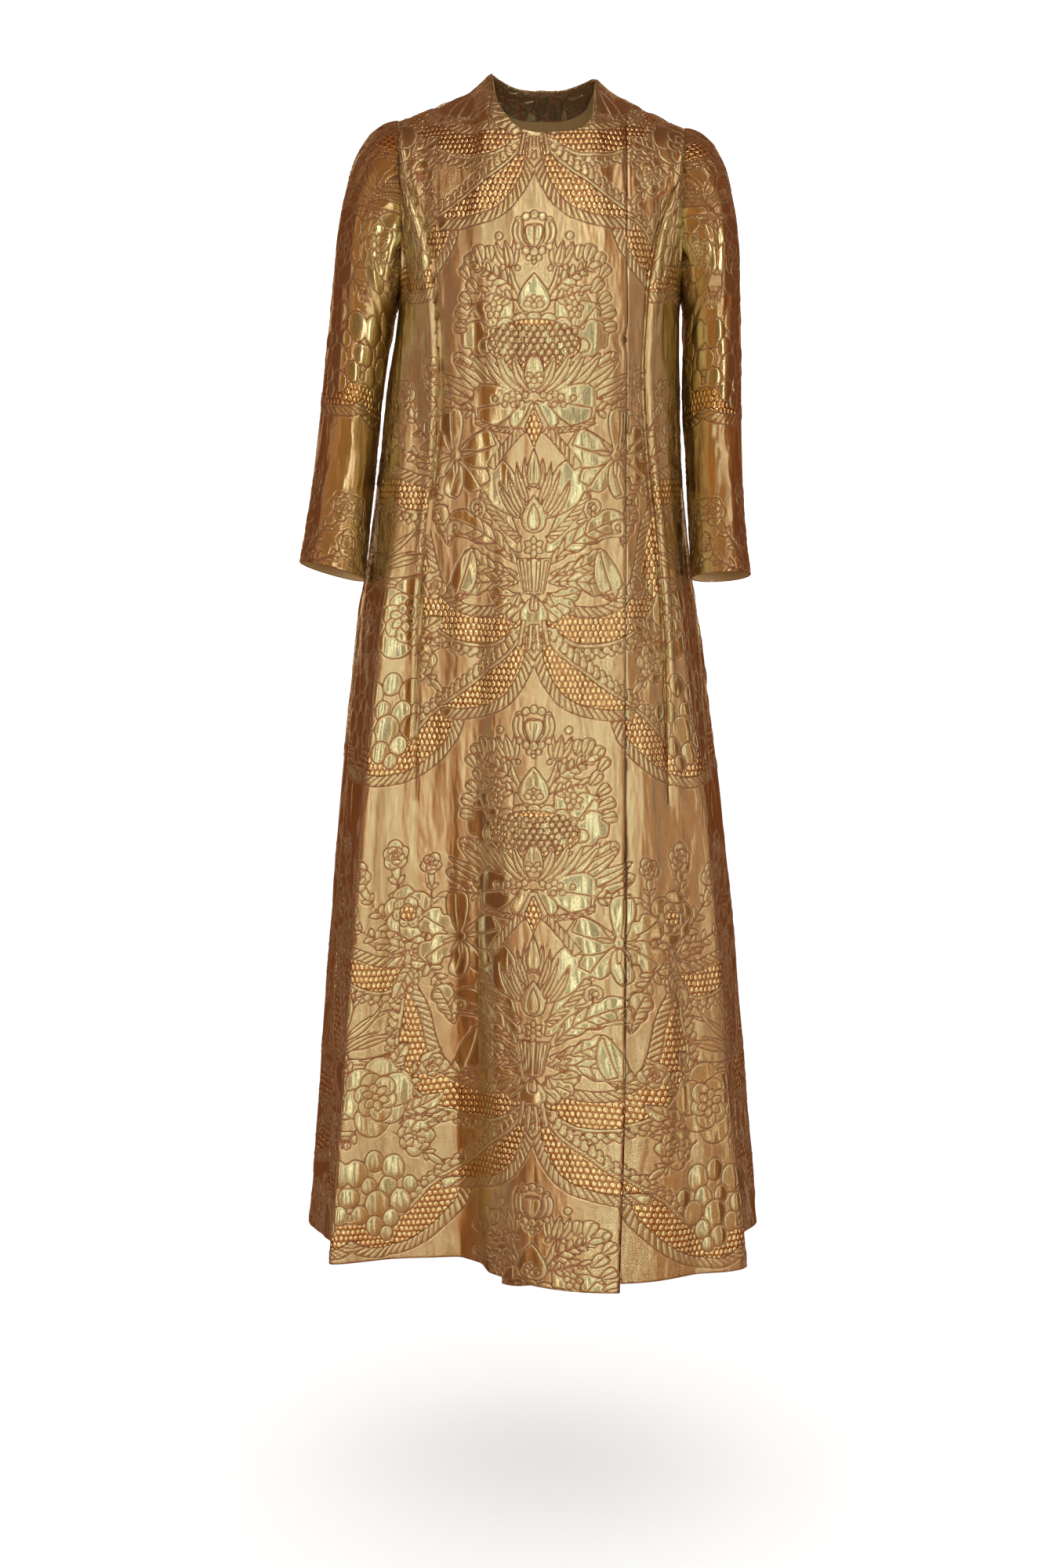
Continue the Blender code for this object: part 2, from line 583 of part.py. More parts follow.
def sleeve_ring(table, tilt, around, height):
    """Give points of the sleeve round the arm; around is 0 outside, 90 in front, 180 inside."""
    inner, outer, middle, half_depth = np.moveaxis(through(rising(table), height), -1, 0)
    angle = np.radians(around)
    across = (inner + outer) / 2 + (outer - inner) / 2 * np.cos(angle)
    depth = middle - half_depth * np.sin(angle)
    cuff = table[-1][0]
    near_cuff = np.clip((table[-3][0] - height) / (table[-3][0] - cuff), 0, 1)
    slant = tilt * (across - (inner + outer) / 2) - CUFF_SLOPE * (depth - middle)
    level = height + slant * near_cuff
    return np.stack([across, depth, level], axis=-1)


def sleeve_start(around, side):
    """Give the armhole's points and the direction in which the sleeve leaves each."""
    around = np.asarray(around, float)
    front = around <= 180
    arm = np.where(front, around, 360 - around) / 180
    point = np.where(front[..., None], along(ARMHOLE_FRONT, arm), along(ARMHOLE_BACK, arm))
    if side > 0:
        point = shoulder_drop(point)
    angle = np.radians(around)
    out = np.stack([0.62 + 0.38 * np.cos(angle), -0.30 * np.sin(angle),
                    -0.48 + 0.42 * np.cos(angle) - 0.10 * (1 - np.cos(angle))], axis=-1)
    return point, out / np.linalg.norm(out, axis=-1, keepdims=True)


def sleeve_point(table, tilt, side, around, part):
    """Give points of a sleeve: part 0 at the armhole, 1 where the cap ends, 2 at the cuff."""
    around, part = np.broadcast_arrays(np.asarray(around, float), np.asarray(part, float))
    top, cuff = table[0][0], table[-1][0]
    height = top + (cuff - top) * np.clip(part - 1, 0, 1)
    arm = sleeve_ring(table, tilt, around, height)
    start, leave = sleeve_start(around, side)
    start = start + leave * SEAM_GAP
    end = sleeve_ring(table, tilt, around, np.full_like(height, top))
    after = sleeve_ring(table, tilt, around, np.full_like(height, top + 0.01 * (cuff - top)))
    arrive = (after - end) / np.linalg.norm(after - end, axis=-1, keepdims=True)
    length = 0.9 * np.linalg.norm(end - start, axis=-1, keepdims=True)
    step = np.clip(part, 0, 1)[..., None]
    cap = ((1 + 2 * step) * (1 - step) ** 2 * start + step * (1 - step) ** 2 * length * leave
           + step ** 2 * (3 - 2 * step) * end + step ** 2 * (step - 1) * length * arrive)
    return np.where((part > 1)[..., None], arm, cap)


def make_sleeve(name, table, tilt, side):
    """Make one sleeve as a tube; side is 1 for the wearer's left and -1 for the right."""
    seam_turns = np.linspace(0.0, 180.0, ARMHOLE_COLUMNS + 1)
    around = np.concatenate([seam_turns, 360 - seam_turns[::-1][1:-1]])
    parts = np.concatenate([np.linspace(0, 1, SLEEVE_CAP_ROWS + 1)[:-1],
                            np.linspace(1, 2, SLEEVE_ROWS + 1)])
    grid_around = np.repeat(around[None, :], len(parts), axis=0)
    grid_part = np.repeat(parts[:, None], len(around), axis=1)
    points = sleeve_point(table, tilt, side, grid_around, grid_part)
    step = 0.02
    ahead = sleeve_point(table, tilt, side, grid_around, np.minimum(grid_part + step, 2))
    behind = sleeve_point(table, tilt, side, grid_around, np.maximum(grid_part - step, 0))
    down = ahead - behind
    round_arm = (sleeve_point(table, tilt, side, (grid_around + 1) % 360, grid_part)
                 - sleeve_point(table, tilt, side, (grid_around - 1) % 360, grid_part))
    out = np.cross(round_arm, down)
    out = out / np.linalg.norm(out, axis=-1, keepdims=True)
    mirror = np.array([side, 1.0, 1.0])
    rows, columns = grid_around.shape
    faces = []
    for row in range(rows - 1):
        for column in range(columns):
            following = (column + 1) % columns
            face = (row * columns + column, row * columns + following,
                    (row + 1) * columns + following, (row + 1) * columns + column)
            faces.append(face if side > 0 else tuple(reversed(face)))
    shell(name, (points * mirror).reshape(-1, 3), (out * mirror).reshape(-1, 3), faces,
          GOLD, 0.8, 0.4)


def wire(name, path, radius, colour):
    """Make a bent wire through the points of its path."""
    curve = bpy.data.curves.new(name + "_path", "CURVE")
    curve.dimensions = "3D"
    curve.bevel_depth = radius
    curve.bevel_resolution = 2
    curve.use_fill_caps = True
    spline = curve.splines.new("POLY")
    spline.points.add(len(path) - 1)
    for target, point in zip(spline.points, path):
        target.co = (*point, 1.0)
    holder = bpy.data.objects.new(name + "_path", curve)
    bpy.context.scene.collection.objects.link(holder)
    bpy.context.view_layer.update()
    data = bpy.data.meshes.new_from_object(holder.evaluated_get(bpy.context.evaluated_depsgraph_get()))
    data.name = name
    bpy.data.objects.remove(holder)
    mesh = bmesh.new()
    mesh.from_mesh(data)
    bmesh.ops.remove_doubles(mesh, verts=mesh.verts, dist=0.00001)
    mesh.to_mesh(data)
    mesh.free()
    data.shade_smooth()
    add_object(name, data, colour, 1.0, 0.3)


def make_fastening():
    """Make the eye at the lap's edge and the hook that it holds, flat on the left front."""
    rise = 1.0 + (EYE_HEIGHT - BUST_HEIGHT) / (BUST_HEIGHT - HEM_HEIGHT)
    turn = turn_where(rise, lap_edge(rise) - EYE_INSET)
    place, out = body_point(np.array([turn]), np.array([rise]))
    ahead, _ = body_point(np.array([turn + 1.0]), np.array([rise]))
    place, out = place[0], out[0]
    across = (ahead[0] - place) / np.linalg.norm(ahead[0] - place)
    up = np.cross(out, across)
    bend = [math.radians(angle) for angle in range(-150, 151, 15)]
    lift = out * (EYE_WIRE + SEAM_GAP + 0.0001)
    loop = [place + lift + EYE_RADIUS * (math.cos(angle) * across + math.sin(angle) * up)
            for angle in bend]
    wire("eye", loop, EYE_WIRE, WIRE_GOLD)
    prong = 0.0013
    bend = [math.radians(angle) for angle in range(90, 271, 18)]
    tips = [place + lift + 0.0020 * across + prong * up]
    tips += [place + lift + prong * (math.cos(angle) * across + math.sin(angle) * up)
             for angle in bend]
    tips.append(place + lift + 0.0020 * across - prong * up)
    wire("hook", tips, HOOK_WIRE, DARK_METAL)


def main():
    """Make the coat."""
    for item in list(bpy.data.objects):
        bpy.data.objects.remove(item)
    collection = bpy.data.collections.new(COLLECTION)
    bpy.context.scene.collection.children.link(collection)
    make_fronts()
    make_back()
    make_sleeve("sleeve_right", SLEEVE_RIGHT, CUFF_TILT_RIGHT, -1)
    make_sleeve("sleeve_left", SLEEVE_LEFT, CUFF_TILT_LEFT, 1)
    make_fastening()


main()
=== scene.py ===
"""Looks of the gold brocade evening coat: puffed brocade shells, lining, wire eye, hook and studio.

The shells follow the same formulas as the solids, so each one lies on its own solid. Lengths are in
metres; the brocade's repeat is drawn in millimetres of flat cloth. A place on the body is a turn, in
degrees round from the centre front towards the wearer's left, and a rise: 0 at the hem, 1 at bust
height and 2 at the neckline, shoulder seam or armhole.
"""
from __future__ import annotations

import json
import logging
import math
from dataclasses import dataclass, field
from enum import Enum
from typing import Callable, Sequence

import bpy
import numpy as np
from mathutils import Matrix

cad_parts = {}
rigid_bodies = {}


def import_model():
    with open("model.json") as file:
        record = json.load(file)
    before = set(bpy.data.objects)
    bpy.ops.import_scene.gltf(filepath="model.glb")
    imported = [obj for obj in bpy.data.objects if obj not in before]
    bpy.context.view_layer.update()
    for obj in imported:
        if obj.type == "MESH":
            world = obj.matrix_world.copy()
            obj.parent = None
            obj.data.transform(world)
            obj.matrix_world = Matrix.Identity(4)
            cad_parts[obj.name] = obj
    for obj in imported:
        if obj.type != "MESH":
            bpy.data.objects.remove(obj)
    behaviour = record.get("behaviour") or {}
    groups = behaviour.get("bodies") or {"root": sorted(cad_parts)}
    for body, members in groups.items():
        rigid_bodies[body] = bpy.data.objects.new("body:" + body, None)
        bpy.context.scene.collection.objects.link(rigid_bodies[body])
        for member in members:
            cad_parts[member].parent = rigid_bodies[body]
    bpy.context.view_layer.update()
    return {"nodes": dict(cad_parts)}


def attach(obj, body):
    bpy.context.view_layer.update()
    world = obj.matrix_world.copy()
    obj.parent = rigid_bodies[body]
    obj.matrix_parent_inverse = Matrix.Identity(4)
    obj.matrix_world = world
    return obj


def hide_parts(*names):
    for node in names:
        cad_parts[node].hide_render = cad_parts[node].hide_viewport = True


LOG = logging.getLogger("evening_coat")
Array = np.ndarray
Colour = tuple[float, float, float]
Materials = Sequence[bpy.types.Material]
Rows = Sequence[Sequence[float]]
Socket = bpy.types.NodeSocket

CLOTH = 0.0020            # thickness of brocade and lining together
SEAM_GAP = 0.0003         # clear space between two sewn pieces
HEM_HEIGHT = -1.228       # below the neck end of the shoulder seam
BUST_HEIGHT = -0.248
UNDERARM_HEIGHT = -0.218

# The rings of the body: height, wearer's right, wearer's left, front, back
SECTIONS = ((-0.248, 0.149, 0.143, 0.125, 0.107), (-0.313, 0.159, 0.144, 0.1255, 0.106),
            (-0.393, 0.1695, 0.148, 0.122, 0.108), (-0.5, 0.185, 0.159, 0.127, 0.121),
            (-0.558, 0.1955, 0.168, 0.132, 0.13), (-0.633, 0.2045, 0.178, 0.1385, 0.141),
            (-0.803, 0.2225, 0.2005, 0.15, 0.156), (-1.003, 0.2395, 0.2205, 0.161, 0.166),
            (-1.153, 0.252, 0.234, 0.169, 0.172), (-1.228, 0.26, 0.241, 0.173, 0.174))
SQUARENESS = 2.25         # 2 is an ellipse, more is squarer
# The hem seen from above, each ridge or valley from the centre back round: turn, reach
HEM_FOLDS = ((-180, 0.192), (-164, 0.178), (-147, 0.212), (-130, 0.203), (-114, 0.243), (-96, 0.259),
             (-84, 0.24), (-71, 0.227), (-62.5, 0.251), (-57.5, 0.188), (-52, 0.158), (-40.5, 0.127),
             (-31, 0.128), (-17.5, 0.152), (0, 0.172), (20.5, 0.186), (35, 0.203), (47, 0.214),
             (59.5, 0.25), (70, 0.219), (85, 0.225), (95, 0.243), (110, 0.226), (127, 0.199),
             (146, 0.209), (163, 0.176))
FOLD_SLOWNESS_FRONT = 1.0
FOLD_SLOWNESS_BACK = 1.6

# The neck opening from above: half widths and depths of its oval
NECK_WIDTH_RIGHT, NECK_WIDTH_LEFT = 0.050, 0.0565
NECK_DEPTH_RIGHT, NECK_DEPTH_LEFT, NECK_DEPTH_BACK = 0.080, 0.078, 0.057
NECK_SQUARENESS, NECK_SQUARENESS_LEFT = 2.7, 4.2

# The shoulder line, carried on across the neck: turn, x, y, z
RIDGE = ((0, 0, 0, 0.004), (14, 0.0245, 0, 0.0032), (28, 0.05, 0, 0), (36, 0.072, 0.001, -0.016),
         (45, 0.106, 0.002, -0.0305), (55, 0.147, 0.004, -0.0455))
ARMHOLE_FRONT = ((0.147, 0.004, -0.0455), (0.1465, -0.02, -0.062), (0.145, -0.038, -0.09),
                 (0.1435, -0.048, -0.125), (0.143, -0.049, -0.16), (0.1433, -0.038, -0.194),
                 (0.144, -0.02, -0.212), (0.145, 0, -0.218))
ARMHOLE_BACK = ((0.147, 0.004, -0.0455), (0.1475, 0.026, -0.06), (0.1475, 0.044, -0.088),
                (0.1475, 0.054, -0.125), (0.147, 0.054, -0.16), (0.1465, 0.042, -0.194),
                (0.1455, 0.022, -0.212), (0.145, 0, -0.218))
LEFT_SHOULDER_DROP = 0.0072
DROP_START, DROP_WIDTH = 0.050, 0.097       # across, between the neck and the shoulder's end
# Arrival at the top line: turn, outwards, backwards, up
ARRIVAL_FRONT = ((0, 0, 0.88, 0.48), (28, 0, 0.9, 0.42), (40, 0, 0.95, 0.31), (55, 0, 0.98, 0.2),
                 (60, 0.04, 0.88, 0.48), (67, 0.09, 0.55, 0.83), (76, 0.1, 0.3, 0.95), (90, 0, 0, 1))
ARRIVAL_BACK = ((0, 0, -0.95, -0.31), (28, 0, -0.95, -0.31), (40, 0, -0.96, -0.28),
                (55, 0, -0.98, -0.2), (60, 0.03, -0.92, 0.25), (67, 0.05, -0.6, 0.78),
                (76, 0.05, -0.25, 0.96), (90, 0, 0, 1))
STRAIGHTNESS = ((0, 1.3), (28, 1.25), (55, 1), (125, 1), (152, 1.55), (180, 1.65))
TIP_TURN = 55.0
SIDE_TURN_TOP = 90.0
SIDE_TURN_HEM = 82.0
LOWEST_TOP = 1.3          # no upright line ends below this rise
TOP_GAP = 0.001           # the rise left free below the neckline and the shoulder seam

# The lap: its edge by height, its top edge by distance from the centre
LAP_EDGE = ((-0.056, 0.0852), (-0.27, 0.0832), (-0.98, 0.0828), (-1.228, 0.0765))
UNDERLAP_EDGE = -0.041
LAP_TOP = ((0, -0.071), (0.03, -0.068), (0.052, -0.0615), (0.072, -0.056), (0.088, -0.0505))
LAP_CLEARANCE, LAP_EDGE_CLEARANCE = 0.0006, 0.0021
LAP_LIFT, LAP_LIFT_START, LAP_SWING_WIDTH = 0.024, -0.68, 0.055
LAP_RISE_START, LAP_RISE_WIDTH = 0.036, 0.030      # ahead of the underlap's edge, and over what width
# how far the underlap sags at the hem, where across it begins, over what width and below what rise
UNDERLAP_DROP, UNDERLAP_DROP_EDGE, UNDERLAP_DROP_WIDTH, UNDERLAP_DROP_RISE = 0.0085, 0.01, 0.05, 0.25
FAR_FROM_SEAM = 50.0      # in millimetres, where no seam and no painted lap shadow line is drawn
HOOK_PLACE = (0.0838, -0.273)      # across and up, at the lap's edge beside the hook

# The dart of each front by height: distance from the centre, and the cloth it takes out in millimetres
DART = ((-0.098, 0.147), (-0.128, 0.13), (-0.173, 0.1155), (-0.231, 0.107), (-0.303, 0.1035),
        (-0.338, 0.1045), (-0.403, 0.109), (-0.453, 0.115), (-0.523, 0.122), (-0.603, 0.1265),
        (-0.738, 0.129))
DART_INTAKE = ((-0.098, 10), (-0.2, 34), (-0.35, 42), (-0.52, 26), (-0.738, 0))
DART_DEPTH, DART_GROOVE, DART_HOLLOW, DART_RIDGE, DART_FADE = 0.0022, 0.0025, 0.030, 0.010, 0.060
DART_ABOVE = 0.02         # how far above its table a dart's seam runs on, to the armhole

CAMERA_PLACE = (-0.0194, -2.315, -0.409)
CAMERA_PITCH = 8.0
CAMERA_LENS = 50.0
FLOOR_HEIGHT = -1.50


def hermite(part: Array, start: Array, leave: Array, end: Array, arrive: Array) -> Array:
    """Run a cubic from start to end by part, 0 to 1, with the given tangents."""
    return ((1 + 2 * part) * (1 - part) ** 2 * start + part * (1 - part) ** 2 * leave
            + part ** 2 * (3 - 2 * part) * end + part ** 2 * (part - 1) * arrive)


def through(rows: Rows, at: Array | float) -> Array:
    """Read a smooth curve through rows of (place, values...) with no overshoot.

    Args:
        rows: the table, in any order.
        at: the places to read.

    Returns:
        The values at those places, with a last axis if the table has several value columns.
    """
    rows = np.asarray(sorted(rows, key=lambda row: row[0]), float)
    place, value = rows[:, 0], rows[:, 1:]
    step = np.diff(place)[:, None]
    slope = np.diff(value, axis=0) / step
    same = slope[:-1] * slope[1:] > 0
    weight_a, weight_b = 2 * step[1:] + step[:-1], step[1:] + 2 * step[:-1]
    mean = (weight_a + weight_b) / (weight_a / np.where(same, slope[:-1], 1.0)
                                    + weight_b / np.where(same, slope[1:], 1.0))
    tangent = np.concatenate([slope[:1], np.where(same, mean, 0.0), slope[-1:]])
    at = np.clip(np.asarray(at, float), place[0], place[-1])
    low = np.clip(np.searchsorted(place, at, side="right") - 1, 0, len(place) - 2)
    span = step[low, 0][..., None]
    part = (at - place[low])[..., None] / span
    curve = hermite(part, value[low], span * tangent[low], value[low + 1], span * tangent[low + 1])
    return curve[..., 0] if value.shape[1] == 1 else curve


def along(points: Rows, part: Array) -> Array:
    """Read a smooth curve through 3-D points at parts 0 to 1 of its length."""
    length = arc(np.asarray(points, float), 0)
    return through(np.column_stack([length / length[-1], points]), part)


def arc(points: Array, axis: int) -> Array:
    """Give the running length along one axis of a grid of points.

    Args:
        points: the grid, with x, y and z last.
        axis: the axis to run along.

    Returns:
        The length at each point, 0 at the first.
    """
    step = np.linalg.norm(np.diff(points, axis=axis), axis=-1)
    start = np.zeros_like(np.take(step, [0], axis=axis))
    return np.concatenate([start, np.cumsum(step, axis=axis)], axis=axis)


def ease(value: Array | float) -> Array:
    """Run smoothly from 0 to 1 as the value does."""
    value = np.clip(value, 0.0, 1.0)
    return value * value * (3 - 2 * value)


def unit(vectors: Array) -> Array:
    """Give vectors the length 1."""
    return vectors / np.maximum(np.linalg.norm(vectors, axis=-1, keepdims=True), 1e-9)


def wrapped(turn: Array) -> Array:
    """Bring turns between -180 and 180."""
    return (turn + 180) % 360 - 180


class Side(Enum):
    """The wearer's side that a piece is on; the value is its sign along X."""

    RIGHT = -1
    LEFT = 1


class BodyForm:
    """The body of the coat as formulas, shared by the fronts and the back."""

    def smooth_reach(self, turn: Array, height: Array) -> Array:
        """Give the reach of the ring without folds.

        Args:
            turn: turns in degrees.
            height: heights, of the same shape.

        Returns:
            The distances from the upright axis.
        """
        right, left, front, back = np.moveaxis(through(SECTIONS, height), -1, 0)
        across, ahead = np.sin(np.radians(turn)), np.cos(np.radians(turn))
        width, depth = np.where(across < 0, right, left), np.where(ahead > 0, front, back)
        power = (np.abs(across) / width) ** SQUARENESS + (np.abs(ahead) / depth) ** SQUARENESS
        return power ** (-1 / SQUARENESS)

    def skirt_point(self, turn: Array, rise: Array) -> Array:
        """Give points between the hem, rise 0, and the bust, rise 1.

        Args:
            turn: turns in degrees.
            rise: rises, of the same shape.

        Returns:
            The points.
        """
        height = HEM_HEIGHT + (BUST_HEIGHT - HEM_HEIGHT) * rise
        folds = [(place + round_trip, reach) for round_trip in (-360, 0, 360) for place, reach in HEM_FOLDS]
        fold = through(folds, wrapped(turn)) - self.smooth_reach(turn, np.full_like(height, HEM_HEIGHT))
        angle = np.radians(turn)
        slowness = (FOLD_SLOWNESS_FRONT
                    + (FOLD_SLOWNESS_BACK - FOLD_SLOWNESS_FRONT) * (1 - np.cos(angle)) / 2)
        reach = self.smooth_reach(turn, height) + fold * (1 - rise) ** slowness
        return np.stack([reach * np.sin(angle), -reach * np.cos(angle), height], axis=-1)

    def shoulder_drop(self, points: Array) -> Array:
        """Lower the wearer's left shoulder by its share at each point.

        Args:
            points: points of the body or the armhole.

        Returns:
            The points, lowered.
        """
        out = np.clip((points[..., 0] - DROP_START) / DROP_WIDTH, 0, 1) ** 1.3
        up = ease((points[..., 2] - UNDERARM_HEIGHT) / (RIDGE[-1][-1] - UNDERARM_HEIGHT))
        return points - (LEFT_SHOULDER_DROP * out * up)[..., None] * np.array([0.0, 0.0, 1.0])

    def top_line(self, turn: Array) -> tuple[Array, Array]:
        """Give the top end of each upright line and the direction of arrival there.

        Args:
            turn: turns in degrees.

        Returns:
            The end points, and unit directions.
        """
        side = np.where(turn % 360 > 180, -1.0, 1.0)
        from_front = np.abs(wrapped(turn))
        front = (from_front <= SIDE_TURN_TOP)[..., None]
        angle = np.where(front[..., 0], from_front, 180 - from_front)
        arm = np.clip((angle - TIP_TURN) / (SIDE_TURN_TOP - TIP_TURN), 0, 1)
        armhole = np.where(front, along(ARMHOLE_FRONT, arm), along(ARMHOLE_BACK, arm))
        point = np.where((angle > TIP_TURN)[..., None], armhole, through(RIDGE, angle))
        way = np.where(front, through(ARRIVAL_FRONT, angle), through(ARRIVAL_BACK, angle))
        mirror = np.stack([side, np.ones_like(side), np.ones_like(side)], axis=-1)
        return self.shoulder_drop(point * mirror), unit(way) * mirror

    def point(self, turn: Array, rise: Array) -> Array:
        """Give points of the body without its darts.

        Args:
            turn: turns in degrees.
            rise: rises, of the same shape.

        Returns:
            The points.
        """
        foot, below = (self.skirt_point(turn, np.full_like(rise, level)) for level in (1.0, 0.99))
        head, way = self.top_line(turn)
        start = unit(foot - below) * through(STRAIGHTNESS, np.abs(wrapped(turn)))[..., None]
        length = np.linalg.norm(head - foot, axis=-1, keepdims=True)
        yoke = hermite(np.maximum(rise - 1, 0)[..., None], foot, length * start, head, length * way)
        return np.where((rise > 1)[..., None], yoke, self.skirt_point(turn, np.minimum(rise, 1)))

    def normals(self, turn: Array, rise: Array) -> Array:
        """Give the outward direction of the body, by small steps on it.

        Args:
            turn: turns in degrees.
            rise: rises, of the same shape.

        Returns:
            Unit directions.
        """
        small_turn, small_rise = 0.5, 0.004
        at_side = (np.abs(np.abs(wrapped(turn)) - SIDE_TURN_TOP) < small_turn) & (rise > 1)
        step = np.where(at_side, 0.0, small_turn)
        across = self.point(turn + step, rise) - self.point(turn - step, rise)
        sideways = np.sign(np.sin(np.radians(turn)))[..., None] * np.array([0.0, 1.0, 0.0])
        up = self.point(turn, np.minimum(rise + small_rise, 2)) - self.point(turn, rise - small_rise)
        return unit(np.cross(np.where(at_side[..., None], sideways, across), up))

    def place(self, turn: Array, rise: Array) -> tuple[Array, Array]:
        """Give points of the body's outer face, with its darts, and their outward directions.

        Args:
            turn: turns in degrees.
            rise: rises, of the same shape.

        Returns:
            The points, and unit directions.
        """
        points, out = self.point(turn, rise), self.normals(turn, rise)
        height = points[..., 2]
        beside = np.abs(points[..., 0]) - through(DART, height)
        groove = -np.exp(-(beside / DART_GROOVE) ** 2)
        hollow = -0.6 * ease(1 + beside / DART_HOLLOW) * (beside < 0)
        ridge = np.sin(np.pi * np.clip(beside / DART_RIDGE, 0, 1)) * (beside > 0)
        fade = ease((DART[0][0] - height) / DART_FADE) * ease((height - DART[-1][0]) / (3 * DART_FADE))
        offset = DART_DEPTH * fade * (groove + hollow + ridge) * (points[..., 1] < 0)
        return points + out * offset[..., None], out

    def seam_turn(self, rise: float, sign: int) -> float:
        """Give the turn of the side seam, with half a seam gap taken off or put on.

        Args:
            rise: where on the seam.
            sign: 1 for the back's edge, -1 for a front's.

        Returns:
            The turn in degrees.
        """
        rise = min(rise, 1.0)
        turn = SIDE_TURN_HEM + (SIDE_TURN_TOP - SIDE_TURN_HEM) * float(ease(rise))
        reach = float(self.smooth_reach(turn, np.array(HEM_HEIGHT + (BUST_HEIGHT - HEM_HEIGHT) * rise)))
        return turn + sign * math.degrees(0.5 * SEAM_GAP / reach)

    def turn_where(self, rise: float, distance: float) -> float:
        """Give the turn at which a front ring lies this far to the wearer's left of the centre."""
        turns = np.linspace(-SIDE_TURN_HEM + 12, SIDE_TURN_HEM - 12, 561)
        return float(np.interp(distance, self.point(turns, np.full(561, rise))[:, 0], turns))

    def neck_end(self, width: float) -> float:
        """Give the turn whose line ends at the shoulder seam's neck end."""
        dense = np.linspace(0, 40.0, 401)
        return float(np.interp(width, through(RIDGE, dense)[:, 0], dense))

    def neck_rise(self, turn: float) -> float:
        """Give the rise at which an upright line meets the neckline, or 2 at the shoulder seam.

        Args:
            turn: the line's turn in degrees.

        Returns:
            The rise.
        """
        rises = np.linspace(LOWEST_TOP, 2.0, 281)
        across, ahead, _ = self.point(np.full_like(rises, turn), rises).T
        left, front = across > 0, ahead < 0
        width = np.where(left, NECK_WIDTH_LEFT, NECK_WIDTH_RIGHT)
        depth = np.where(front, np.where(left, NECK_DEPTH_LEFT, NECK_DEPTH_RIGHT), NECK_DEPTH_BACK)
        power = np.where(left & front, NECK_SQUARENESS_LEFT, NECK_SQUARENESS)
        outside = (np.abs(across) / width) ** power + (np.abs(ahead) / depth) ** power - 1
        return float(np.interp(0.0, -outside, rises))


class Surface(Enum):
    """What a woven motif is made of."""

    SATIN = "satin"
    LACE = "lace"


